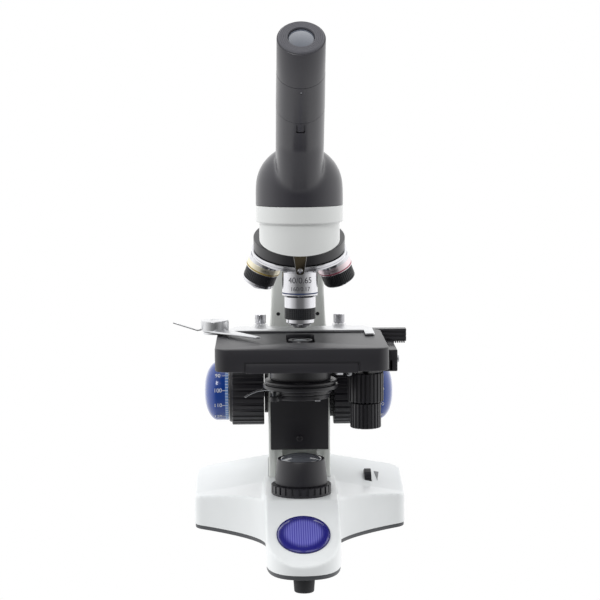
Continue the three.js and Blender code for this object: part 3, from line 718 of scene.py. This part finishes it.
def dialMarks(side, sign):
    parts = []
    count, ticks = len(dial["numbers"]), dial["ticksPerNumber"]
    for i, value in enumerate(dial["numbers"]):
        angle = radians(dial["offset"]) - 2 * pi * (i - 9) / count        # the tenth number faces front
        number = lettering(str(value), dial["height"])
        parts.append(wrapOnDial(number, angle, dial["numberAt"][side], sign))
        for k in range(ticks):
            length = dial["shortTick"] if k else dial["longTick"]
            tick = bmesh.new()
            bmesh.ops.create_grid(tick, x_segments=1, y_segments=1, size=0.5)
            bmesh.ops.scale(tick, vec=(length * mm, 0.32 * mm, 1), verts=tick.verts)
            turn = angle + 2 * pi * k / (count * ticks)
            parts.append(wrapOnDial(tick, turn, dial["tickAt"] + length / 2, sign))
    return placed(joined(*parts), opticAxis @ shifted(0, focus["y"], focus["z"]))


def buildKnobs():
    for side, sign in (("right", 1), ("left", -1)):
        place = focusAxis[side]
        grip = grooved(24.5, 30, 0.9, 25.4, 47.4, 0.42, 0.6, place)
        shoulder = turned([[0, 47.2], [22.6, 47.2], [22.6, 48.2], [22.0, 49.9], [0, 49.9]], 112, 0.25, place)
        finishPiece("coarseGrip_" + side, joined(grip, shoulder), gripAbs, ["coarse_knob_" + side])
        radius = dial["radius"]
        dome = [[radius * sin(radians(a)) ** 0.8, 59 + 8.7 * cos(radians(a)) ** 1.25] for a in range(84, 0, -6)]
        profile = [[0, 50.4], [radius - 0.1, 50.4], [radius, 50.9], [radius, 58.2]] + dome + [[0, 67.7]]
        finishPiece("fineKnob_" + side, turned(profile, 128, 0.15, place), blueGloss, ["fine_knob_" + side])
        band = ringOf(20.5, radius + 0.06, 50.45, 52.7, 128, 0, place)
        finishPiece("dialBand_" + side, band, bandGloss, [], "fine_drive")
        finishPiece("dialMarks_" + side, dialMarks(side, sign), whiteInk, [], "fine_drive")


def buildFocusSlide():
    tension = grooved(19, 36, 0.5, 22.5, 24.8, 0.5, 0.25, focusAxis["right"])
    finishPiece("tensionRing", tension, blackAbs, ["tension_ring"])
    collar = rod(16, 22.1, 24.6, 96, 0.3, focusAxis["left"])
    finishPiece("leftBearingCollar", collar, blackAbs, [], "stand")
    finishPiece("focusSlide", block(-11.9, 11.9, 54.2, 64, 72, 140, 0.5), blackEnamel, ["coarse_slide"])
    teeth = [block(-4, 4, 66.2, 69.9, 88.6 + i * 1.5, 89.4 + i * 1.5, 0.1) for i in range(30)]
    rack = joined(block(-4, 4, 64.3, 67, 88, 134, 0.2), *teeth)
    finishPiece("focusRack", rack, brassMetal, ["focus_rack"])
    finishPiece("stageCarrier", block(-20.6, 20.6, 49.9, 53.9, 70, 140, 0.6), blackEnamel, ["stage_carrier"])
    head = carved(turned([[0, -0.2], [2.2, -0.2], [2.2, 0.5], [1.6, 0.9], [0, 0.9]], 48, 0.1),
                  cutter(-3, 3, -0.3, 0.3, 0.4, 1.5))
    placed(head, opticAxis @ shifted(0, 49.9, 78) @ toFront)
    finishPiece("carrierScrew", head, blackEnamel, [], "stage")


# Stage: a cast plate with a skirt, a slot for the light and a shallow relief along its front
stage = {"top": 156.9, "bottom": 141.8, "front": -58, "back": 44, "half": 57, "corner": 8, "wall": 2.5,
         "slotHalf": 9.65, "slotFront": -28, "slotBack": 17, "reliefHalf": 38}


def buildStage():
    half, low, top, wall = stage["half"], stage["bottom"], stage["top"], stage["wall"]
    front, back, corner = stage["front"], stage["back"], stage["corner"]
    body = prism(roundedOutline(-half, half, front, back, corner, 10), low, top)
    softenEdges(body, 0.8, 3, 40, lambda e: min(v.co.z for v in e.verts) > (top - 0.1) * mm)
    softenEdges(body, 0.6, 2, 40, lambda e: max(v.co.z for v in e.verts) < (low + 0.1) * mm)
    inside = roundedOutline(wall - half, half - wall, front + wall, back - wall, corner - wall)
    slotOutline = roundedOutline(-stage["slotHalf"], stage["slotHalf"], stage["slotFront"], stage["slotBack"], 3)
    relief = cutter(-stage["reliefHalf"], stage["reliefHalf"], front - 1, front + 1.1, low - 1, low + 6.6)
    ear = rod(1.0, -1, 3, 32, 0, shifted(36.2, front + 2.2, low + 4.6) @ toFront)
    piece = carved(body, prism(inside, low - 1, top - 5), prism(slotOutline, low, top + 1), relief, ear)
    lip = block(-36.6, 36.6, front + 0.7, front + 2.4, low - 1, low + 5.2, 0.3, None)
    placed(carved(piece, lip, operation="UNION"), opticAxis)
    finishPiece("stageTop", filleted(piece, 0.25, 50), stageEnamel, ["stage_top"])
    finishPiece("stageBracket", block(-20, 20, 30, 49.6, 128.5, 141.5, 1.2), blackEnamel, ["stage_bracket"])
    sleeve = ringOf(18.5, 20.8, 129, 151.6, 128, 0.3, opticAxis)
    finishPiece("condenserSleeve", sleeve, blackEnamel, ["condenser_holder"])
    across = opticAxis @ shifted(0, 0, 134) @ toRight
    stem = rod(1.3, 18.7, 24.2, 32, 0.1, across)
    knob = grooved(3, 16, 0.2, 24, 28.9, 0.5, 0.25, across)
    finishPiece("condenserClampScrew", joined(stem, knob), chrome, ["condenser_screw"])


# Condenser: the iris ring and its lever under the body, and a filter tray that swings on a pin
condenser = {"irisLow": 119.7, "irisHigh": 122.3, "trayLow": 116.1, "trayHigh": 119.1, "pin": (-18, -17),
             "leverRadius": 0.62, "leverReach": 18.6}


def buildCondenser():
    body = turned([[7, 122.7], [24.9, 122.7], [25.5, 123.2], [25.5, 125.2], [25.1, 125.6], [23.9, 125.7],
                   [23.9, 126.2], [24.2, 126.3], [24.6, 126.7], [24.6, 128.0], [24.2, 128.4], [21.8, 128.4],
                   [21.5, 128.9], [18.2, 128.9], [18.2, 149], [9.2, 151.3], [8.2, 155.4], [7.9, 155.6],
                   [6.1, 155.6], [6.1, 150], [7, 149], [7, 122.7]], 128, 0.12, opticAxis)
    finishPiece("condenserBody", body, blackEnamel, ["condenser_body"])
    crown = [[5.8 * sin(radians(a)), 154.2 + 1.5 * cos(radians(a))] for a in range(75, 0, -15)]
    topLens = turned([[0, 151], [6.0, 151], [6.0, 154.2]] + crown + [[0, 155.7]], 64, 0, opticAxis)
    finishPiece("condenserTopLens", topLens, eyeGlass, ["condenser_top_lens"])
    lower = turned([[0, 126], [6.8, 127], [6.8, 129], [0, 131]], 64, 0, opticAxis)
    finishPiece("condenserFieldLens", lower, glass, ["condenser_field_lens"])


def buildIris():
    low, high, reach = condenser["irisLow"], condenser["irisHigh"], condenser["leverReach"]
    iris = turned([[12, low], [20.9, low], [21.3, low + 0.4], [21.3, high - 0.4], [20.9, high], [12, high],
                   [12, low]], 128, 0.15, opticAxis)
    finishPiece("irisRing", iris, blackEnamel, [], "iris")
    along = [k / 14 for k in range(15)]
    path = [(-19.5 - reach * t, -2 * t * t, 120.9 + 1.4 * t - 6.0 * t ** 2.4) for t in along]
    wire = wireAlong(path, condenser["leverRadius"], 12)
    finishPiece("irisLever", placed(wire, opticAxis), brightSteel, ["iris_lever"])


def buildFilter():
    low, high, (pinX, pinY) = condenser["trayLow"], condenser["trayHigh"], condenser["pin"]
    tray = turned([[14.5, low], [19.2, low], [19.6, low + 0.4], [19.6, high], [15.6, high], [15.6, low + 1],
                   [14.5, low + 1], [14.5, low]], 112, 0.2)
    eye = ringOf(1.6, 3.2, low, high, 48, 0.2, shifted(pinX, pinY, 0))
    link = block(-16.4, -12.2, -14.8, -10.6, low + 0.2, high - 0.2, 0.3, None)
    finishPiece("filterHolder", placed(joined(tray, eye, link), opticAxis), blackAbs, ["filter_holder"])
    tab = block(9.2, 12.8, -20.6, -15.4, low, low + 1.1, 0.3)
    finishPiece("filterTab", tab, chrome, [], "filter")
    pin = rod(1.3, low - 0.6, condenser["irisHigh"], 32, 0.15, opticAxis @ shifted(pinX, pinY, 0))
    finishPiece("filterPin", pin, blackenedSteel, ["filter_pin"])


# Head: a painted bowl under a moulded dome, whose tube leans to the user and flows into the dome below
head = {"seam": 247.35, "radius": 29.5, "bowlRadius": 27.2, "tubeCross": 258.5, "tubeLean": 45,
        "tubeRadius": 16.15, "tubeEnd": 78.42, "webRadius": 15.6, "webLean": 34, "voxel": 0.85, "blend": 50}
nose = {"apex": 266.7, "tilt": 20, "shoulder": 64.3}      # the nosepiece axis leans as far as its ports do
tubeTurn = shifted(0, 0, head["tubeCross"]) @ Matrix.Rotation(radians(head["tubeLean"]), 4, "X")
noseTurn = shifted(0, 0, nose["apex"]) @ Matrix.Rotation(pi + radians(nose["tilt"]), 4, "X")


def buildBowl():
    seam, wide, radius = head["seam"], head["radius"], head["bowlRadius"]
    bowl = turned([[0, 200], [radius, 200], [radius, 235.2], [radius + 0.4, 235.8], [wide - 0.4, 236],
                   [wide, 236.6], [wide, seam - 0.5], [wide - 0.3, seam - 0.15], [20.2, seam - 0.15], [20.2, 243],
                   [12, 243], [12, 243.5], [0, 243.5]], 144, 0)
    carvedBowl = carved(bowl, block(-50, 50, -60, 60, 39.7, 120, 0, noseTurn), rod(12, 190, 250))
    # the bowl's darker coat is painted shade
    finishPiece("headBowl", placed(filleted(carvedBowl, 0.3, 45), opticAxis), shadedBowlPaint, ["head_bowl"])


def buildDome():
    wide, radius, end = head["radius"], head["tubeRadius"], head["tubeEnd"]
    dome = turned([[0, 238], [wide, 238], [wide, 258], [28.9, 265], [27.2, 270.5], [24.4, 275.6], [20.5, 280],
                   [16, 283.6], [9, 286.4], [0, 287.3]], 144, 0)
    tube = turned([[0, 4], [radius, 4], [radius - 0.33, end + 14], [0, end + 14]], 144, 0, tubeTurn)
    web = rod(head["webRadius"], 0, 69, 144, 0,
              shifted(0, 1.8, 238) @ Matrix.Rotation(radians(head["webLean"]), 4, "X"))
    whole = carved(carved(dome, tube, operation="UNION"), web, operation="UNION")
    castSkin(whole, head["voxel"], head["blend"])
    under = cutter(-60, 60, -60, 60, 220, head["seam"] + 0.15)
    beyond = block(-40, 40, -40, 40, end, end + 30, 0, tubeTurn)
    bore = rod(12.3, 50, 90, 64, 0, tubeTurn)
    outer = [(-2.9, 76.8), (-2.9, 70.2), (-2.4, 69.7), (2.4, 69.7), (2.9, 70.2), (2.9, 76.8)]
    inner = [(1.9, 76.8), (1.9, 71.0), (1.6, 70.8), (-1.6, 70.8), (-1.9, 71.0), (-1.9, 76.8)]
    latch = prism(outer + inner, 14.6, 18, tubeTurn @ upright)
    placed(carved(whole, under, beyond, bore, latch), opticAxis)
    finishPiece("headDome", whole, headAbs, ["head_dome"])


eyepiece = {"start": 109.22, "top": 139.2, "lensRadius": 8.0, "lensSag": 1.4, "rings": 4, "screwAt": 105.2}


def buildTube():        # the eyepiece tube and the set screw in its front
    place = opticAxis @ tubeTurn
    low, high = head["tubeEnd"] + 0.14, eyepiece["start"]
    sleeve = turned([[11.9, low], [15.7, low], [15.8, low + 0.1], [15.5, high - 0.1], [15.4, high],
                     [11.9, high], [11.9, low]], 144, 0)
    spot = shifted(0, -15.5, eyepiece["screwAt"]) @ toFront
    sleeve = carved(sleeve, rod(0.75, -0.8, 2, 32, 0, spot))
    finishPiece("eyepieceTube", placed(sleeve, place), headAbs, ["eyepiece_tube"])
    screw = carved(turned([[0, -0.7], [0.6, -0.7], [0.6, -0.45], [0.5, -0.35], [0, -0.35]], 32, 0, spot),
                   block(-0.12, 0.12, -1, 1, -0.5, 1, 0, spot))
    finishPiece("eyepieceGrubScrew", placed(screw, place), brightSteel, [], "head")


def buildEyepiece():
    place = opticAxis @ tubeTurn
    top, lensRadius = eyepiece["top"], eyepiece["lensRadius"]
    body = turned([[8.0, 86], [11.6, 86], [11.6, 109.36], [15.35, 109.36], [15.45, 109.46], [15.3, 137.5],
                   [15.15, 137.85], [14.9, 138.0], [8.3, 138.0], [8.2, 137.4], [8.0, 136.5], [8.0, 86]],
                  160, 0, place)
    finishPiece("eyepieceShell", body, headAbs, ["eyepiece"])
    rings = []
    for k in range(eyepiece["rings"]):      # fine grooves turned into the rim
        r = 13.3 - k * 1.15
        rings += [[r, top], [r - 0.12, top - 0.12], [r - 0.24, top]]
    rim = turned([[8.3, 138.02], [14.5, 138.02], [14.35, 138.65], [13.7, top]] + rings
                 + [[8.8, top], [8.5, 138.9], [8.3, 138.02]], 160, 0, place)
    # the rim's lighter charcoal is painted light
    finishPiece("eyepieceRim", rim, rimAbsPaintedLight, [], bodyOf["eyepiece"])
    crown = [[lensRadius * k / 10, top - eyepiece["lensSag"] * (k / 10) ** 2] for k in range(10, 0, -1)]
    lens = turned([[0, 133], [7.8, 133.6], [lensRadius, 137.7]] + crown + [[0, top]], 96, 0, place)
    finishPiece("eyeLens", lens, eyeGlass, ["eye_lens"])


# Nosepiece: a fixed mount with a click spring, and a turret with four tilted ports
turret = {"radius": 32.5, "low": 53, "portRadius": 10.1, "grooveAt": 54.7}
clickSpring = {"front": 34.6, "thick": 0.6, "low": 40.4, "high": 57.4, "rivetAt": 54.4}


def portPlace(turn):        # +Z out of a port, from its shoulder
    swing = Matrix.Rotation(-radians(turn), 4, "Z") @ Matrix.Rotation(-radians(nose["tilt"]), 4, "X")
    return noseTurn @ swing @ shifted(0, 0, nose["shoulder"])


def portFace(radius):       # height of the turret's sloping face at this radius
    return 60.42 + (22.0 - radius) * tan(radians(nose["tilt"]))


def buildNosepiece():
    mount = turned([[0, 40], [24, 40], [24, 44.5], [31, 44.5], [31.3, 44.9], [31.3, 52.3], [31, 52.7], [5.2, 52.7],
                    [5.2, 64], [4.8, 64.6], [0, 64.6]], 144, 0, noseTurn)
    mount = placed(carved(mount, rod(11, 190, 250)), opticAxis)
    finishPiece("nosepieceMount", mount, blackEnamel, ["nosepiece_mount"])
    wide, low, groove = turret["radius"], turret["low"], turret["grooveAt"]
    disc = turned([[5.6, low], [wide - 0.4, low], [wide, low + 0.3], [wide, groove - 0.2], [wide - 0.4, groove],
                   [wide - 0.4, groove + 0.3], [wide, groove + 0.5], [wide, portFace(wide) - 0.4],
                   [wide - 0.4, portFace(wide - 0.4)], [10.5, portFace(10.5)], [10, portFace(10) - 0.2],
                   [9.4, 65.4], [5.6, 65.4], [5.6, low]], 160, 0, noseTurn)
    ports = [rod(turret["portRadius"], -16, 6, 64, 0, portPlace(turn)) for turn in (0, 90, 180, 270)]
    finishPiece("turret", placed(carved(disc, *ports), opticAxis), chrome, ["turret"])
    plug = turned([[0, -3], [9.6, -3], [9.6, 0.3], [11.3, 0.3], [11.6, 0.6], [11.6, 3.3], [10.6, 4.2], [9.2, 4.4],
                   [8.6, 3.4], [0, 3.2]], 96, 0.1, opticAxis @ portPlace(180))
    finishPiece("portPlug", plug, blackAbs, ["port_plug"])


def buildClickSpring():     # a tapered leaf with bright sheared edges, a rivet and the pad it is fixed to
    place = opticAxis @ noseTurn
    front, low, high = clickSpring["front"], clickSpring["low"], clickSpring["high"]
    right = [(5, low), (4.9, 44), (2.8, 56), (1.6, high)]
    leaf = right + [(-x, z) for x, z in reversed(right)]
    plate = prism(leaf, -front, clickSpring["thick"] - front, place @ upright, 0.12)
    pad = block(-3.4, 3.4, 31.5, 34.1, 45, 48.5, 0.3, place)
    finishPiece("clickSpring", joined(plate, pad), springSteel, ["click_spring"])
    edgeY = front + 0.15
    edges = [wireAlong([(x * 4.75, edgeY, 40.8), (x * 2.7, edgeY, 55.6)], 0.16, 8) for x in (-1, 1)]
    finishPiece("clickSpringEdges", placed(joined(*edges), place), brightSteel, [], "stand")
    rivet = turned([[0, -0.3], [2.0, -0.3], [2.0, 0.15], [1.8, 0.5], [1.3, 0.75], [0.65, 0.9], [0, 0.95]], 48, 0,
                   place @ shifted(0, front, clickSpring["rivetAt"]) @ toRear)
    finishPiece("clickRivet", rivet, chrome, [], "stand")


# Objectives: where each one sits, its ring, the radius and span of its knurl, and its lettering in rows
shortBarrel = [[0, -4], [9.8, -4], [9.8, 0.3], [11.7, 0.3], [12, 0.6], [12, 8.6], [11.4, 9.4], [10.4, 9.8]]
objectives = {
    "objective_40x": {
        "turn": 0, "ring": blueInk, "ringAt": 14.2, "sleeve": None, "knurl": (10.6, 25.0, 32.5),
        "words": (("40/0.65", 5.7, 5.6), ("160/0.17", 4.0, 11.4)),
        "body": [[0, -4], [9.8, -4], [9.8, 0.3], [11.7, 0.3], [12, 0.6], [12, 16.0], [11.6, 16.6], [10.7, 17.1],
                 [10.5, 17.4], [10.5, 24.6], [10.1, 25.0], [9.9, 32.5], [0, 32.5]]},
    "objective_10x": {
        "turn": -90, "ring": yellowInk, "ringAt": 7.2, "sleeve": paleGold, "knurl": (11.2, 9.8, 16.6),
        "words": (("10/0.25", 2.4, 2.0), ("160/0.17", 1.7, 5.4)),
        "body": shortBarrel + [[10.4, 16.8], [11.2, 16.9], [11.3, 18.6], [11.0, 19.1], [10.2, 19.6], [5.7, 19.8],
                               [5.3, 22.0], [4.9, 22.5], [3.9, 22.5], [3.5, 21.9], [0, 21.9]]},
    "objective_4x": {
        "turn": 90, "ring": redInk, "ringAt": 7.2, "sleeve": paleRose, "knurl": (11.2, 9.8, 17.6),
        "words": (("4/0.10", 2.4, 2.0), ("160/0.17", 1.7, 5.4)),
        "body": shortBarrel + [[10.4, 17.6], [10.9, 17.8], [10.6, 18.4], [9.9, 18.7], [6.2, 18.7], [5.9, 18.0],
                               [0, 17.9]]},
}


def wrapOnBarrel(bm, along, turn):        # lettering round a barrel, read with its port up
    reach = 12.06 * mm
    bmesh.ops.subdivide_edges(bm, edges=[e for e in bm.edges if e.calc_length() > 0.5 * mm], cuts=2)
    for vert in bm.verts:
        angle = turn + vert.co.x / reach
        vert.co = (reach * sin(angle), reach * cos(angle), along * mm - vert.co.y)
    return bm


def knurlRows(radius, low, high):
    rows = round((high - low) / 1.35)
    step = (high - low) / rows
    starts = [low + i * step for i in range(rows)]
    grips = [grooved(radius, 46, 0.5, start, start + step - 0.28, 0.5, 0.16) for start in starts]
    return joined(*grips, rod(radius - 0.45, low, high, 96))


def buildObjectives():
    for node, facts in objectives.items():
        place = opticAxis @ portPlace(facts["turn"])
        finishPiece(node + "Barrel", turned(facts["body"], 128, 0, place), chrome, [node])
        knurl = placed(knurlRows(*facts["knurl"]), place)
        finishPiece(node + "Knurl", knurl, knurlBlack, [], "nosepiece")
        band = ringOf(11.8, 12.06, facts["ringAt"], facts["ringAt"] + 0.9, 128, 0, place)
        finishPiece(node + "Ring", band, facts["ring"], [], "nosepiece")
        if facts["sleeve"]:
            sleeve = turned([[11.9, 3.2], [12.03, 3.4], [12.03, 8.4], [11.9, 8.5], [11.9, 3.2]], 128, 0, place)
            finishPiece(node + "Sleeve", sleeve, facts["sleeve"], [], "nosepiece")
        facing = -radians(facts["turn"])
        lines = [wrapOnBarrel(lettering(words, size), row, facing) for words, size, row in facts["words"]]
        finishPiece(node + "Lettering", placed(joined(*lines), place), blackInk, [], "nosepiece")
    tip = turned([[0, 29.4], [9.45, 29.4], [9.45, 34.9], [9.2, 35.1], [8.2, 35.2], [8.0, 35.9], [7.0, 36.1],
                  [6.9, 36.8], [5.4, 37.0], [5.3, 37.7], [4.4, 37.9], [4.2, 38.4], [2.2, 38.4], [1.9, 37.9],
                  [0, 37.8]], 112, 0, opticAxis @ portPlace(0))
    finishPiece("objective_40xTip", tip, chrome, ["objective_40x_nose"])


# Mechanical stage: a carriage at the stage's right side, a bar behind it, and the slide holder on the bar
carriage = {"left": 60.9, "right": 66.8, "top": 147, "knobs": (45.3, 18), "screws": (13, 34), "capNut": (34, 10.5),
            "yRadius": 12.5, "xRadius": 10.7}
bar = {"left": -38, "right": 76.5, "front": 57, "back": 66, "low": 147.6, "high": 155.1, "pitch": 1.5, "teeth": 16}
holder = {"low": 157.3, "high": 158.8, "front": 25, "back": 49, "pivot": (-58.6, 22), "discRadius": 9.7,
          "screws": {"left": (-27.1, 61.5), "right": (28.9, 61.5)}, "screwRadius": 3.9}


def buildCarriage():
    left, right, top = carriage["left"], carriage["right"], carriage["top"]
    axis = opticAxis @ shifted(*carriage["knobs"], 0)
    parts = [block(left, right, 7, 40, 132, top, 0.7), block(left, right, 39, 56.6, 142, top, 0.5),
             block(left, right, 56, 66, 142, 144.4, 0.3), block(33, 64, 7, 28, 132, 140.5, 0.8),
             rod(2.2, 130.3, 133, 40, 0, axis)]
    finishPiece("yCarriage", joined(*parts), blackEnamel, ["y_carriage"])
    for i, y in enumerate(carriage["screws"]):
        screw = carved(turned([[0, -0.3], [2.6, -0.3], [2.6, 0.9], [2.2, 1.3], [0, 1.3]], 48, 0),
                       rod(1.2, 0.5, 3, 6))
        placed(screw, opticAxis @ shifted(right, y, 140) @ toRight)
        finishPiece(f"carriageScrew_{i + 1}", screw, brightSteel, [], "carriage")
    cap = turned([[0, 128.6], [1.3, 128.6], [2.0, 129.1], [2.3, 130.2], [2.3, 131], [2.9, 131.1], [2.9, 131.9],
                  [0, 131.9]], 64, 0.1, opticAxis @ shifted(*carriage["capNut"], 0))
    finishPiece("gibCapNut", cap, brightSteel, [], "carriage")
    upper = grooved(carriage["yRadius"], 26, 0.8, 110.4, 129.9, 0.42, 0.6, axis)
    finishPiece("yKnob", joined(upper, rod(9, 109.8, 110.6, 64, 0, axis)), gripAbs, ["y_knob"])
    lower = grooved(carriage["xRadius"], 24, 0.75, 92.1, 108.9, 0.42, 0.6, axis)
    finishPiece("xKnob", joined(lower, rod(8.4, 108.6, 109.5, 64, 0, axis)), gripAbs, ["x_knob"])


def buildBar():         # a rail with two grooves along its front, a rack under one end and two screw pads
    front, back, low, high, right = bar["front"], bar["back"], bar["low"], bar["high"], bar["right"]
    section = [(front, low), (back, low), (back, high), (front, high)]
    for top in (153.4, 150.7):
        section += [(front, top), (front + 0.9, top - 0.3), (front + 0.9, top - 1), (front, top - 1.3)]
    rail = prism(section, bar["left"], right, opticAxis @ sideOn, 0.18)
    starts = [52.2 + i * bar["pitch"] for i in range(bar["teeth"])]
    teeth = [block(x, x + 0.8, front + 1, back - 1, 144.9, 146.4, 0.1) for x in starts]
    root = block(52, right, front + 1, back - 1, 146.2, low + 0.2, 0.1)
    pads = [turned([[0, 154], [4, 154], [4, 156.6], [3.8, 156.9], [0, 156.9]], 64, 0, opticAxis @ shifted(x, y, 0))
            for x, y in holder["screws"].values()]
    finishPiece("xBar", joined(rail, root, *teeth, *pads), blackEnamel, ["x_bar"])


def holderOutline():
    back, (pivotX, pivotY) = holder["back"], holder["pivot"]
    line = [(-43.5, holder["front"]), (44.5, holder["front"]), (44.5, 5.6), (45.1, 5), (50.2, 5), (51, 5.8),
            (51, 36), (46, back)]
    for side in ("right", "left"):      # a round tab under each thumbscrew
        x = holder["screws"][side][0]
        line += [(x + 6.5, back), (x + 5, back + 3)] + arcPoints(x, 61, 5, 0, 180, 12)[1:-1]
        line += [(x - 5, back + 3), (x - 6.5, back)]
    return line + [(-44, back), (-51, 31)] + arcPoints(pivotX, pivotY, 8, 72, 288, 16)


def buildHolder():
    plate = prism(holderOutline(), holder["low"], holder["high"], opticAxis, 0.15)
    finishPiece("slideHolder", plate, satinNickel, ["slide_holder"])
    pivot = opticAxis @ shifted(*holder["pivot"], 0)
    wide, top = holder["discRadius"], 166.8
    bladeOutline = [(-67, 20), (-30, -21.5), (-27.6, -21.6), (-27, -20.5), (-30.5, -14), (-52, 24)]
    blade = prism(bladeOutline, 159.1, 160.3, opticAxis, 0.15)
    disc = turned([[0, 160], [wide - 0.2, 160], [wide, 160.3], [wide, top - 0.6], [wide - 0.5, top], [3.2, top],
                   [3.0, top - 0.3], [0, top - 0.3]], 112, 0.1, pivot)
    lever = [(-66, 160.2), (-70.5, 159.4), (-87.2, 164.8), (-87.5, 165.2), (-87.2, 165.7), (-70.5, 160.3),
             (-66, 161.2)]
    thumb = prism(lever, 20, 23, opticAxis @ frontOn, 0.08)
    bmesh.ops.recalc_face_normals(thumb, faces=thumb.faces)
    finishPiece("slideFinger", joined(blade, disc, thumb), satinNickel, ["slide_finger"])
    post = rod(2.6, holder["high"], 160.1, 48, 0, pivot)
    finishPiece("fingerPost", post, brightSteel, [], "holder")


def buildThumbscrews():
    for side, (x, y) in holder["screws"].items():
        place = opticAxis @ shifted(x, y, 0)
        crown = grooved(holder["screwRadius"], 20, 0.34, 159.7, 165.4, 0.5, 0.25, place)
        collar = rod(3.3, 159.2, 160, 48, 0.1, place)
        top = turned([[0, 165.2], [3.0, 165.2], [2.8, 165.8], [0, 165.95]], 48, 0, place)
        finishPiece(f"thumbscrew_{side}Head", joined(crown, collar, top), chrome, ["thumbscrew_" + side])


# Inner pieces kept from the frame, each given its finish
keptFinishes = {
    "power_board": boardGreen, "dimmer_shaft": brightSteel, "coarse_shaft": brightSteel, "fine_shaft": brightSteel,
    "head_prism": glass, "field_lens": glass,
}


def finishKept():
    for node, material in keptFinishes.items():
        bpy.data.objects[node].material_slots[0].material = material


for stageName, steps in (
    ("camera and room", (buildCamera, buildRoom, buildKeyLight)),
    ("base", (buildBase, buildBadge, buildDimmer, buildInlet)),
    ("lamp", (buildLamp,)),
    ("arm and focus", (buildArm, buildKnobs, buildFocusSlide)),
    ("stage and condenser", (buildStage, buildCondenser, buildIris, buildFilter)),
    ("mechanical stage", (buildCarriage, buildBar, buildHolder, buildThumbscrews)),
    ("head", (buildBowl, buildDome, buildTube, buildEyepiece)),
    ("nosepiece", (buildNosepiece, buildClickSpring, buildObjectives)),
    ("kept pieces", (finishKept,)),
):
    for step in steps:
        step()
    print(stageName)
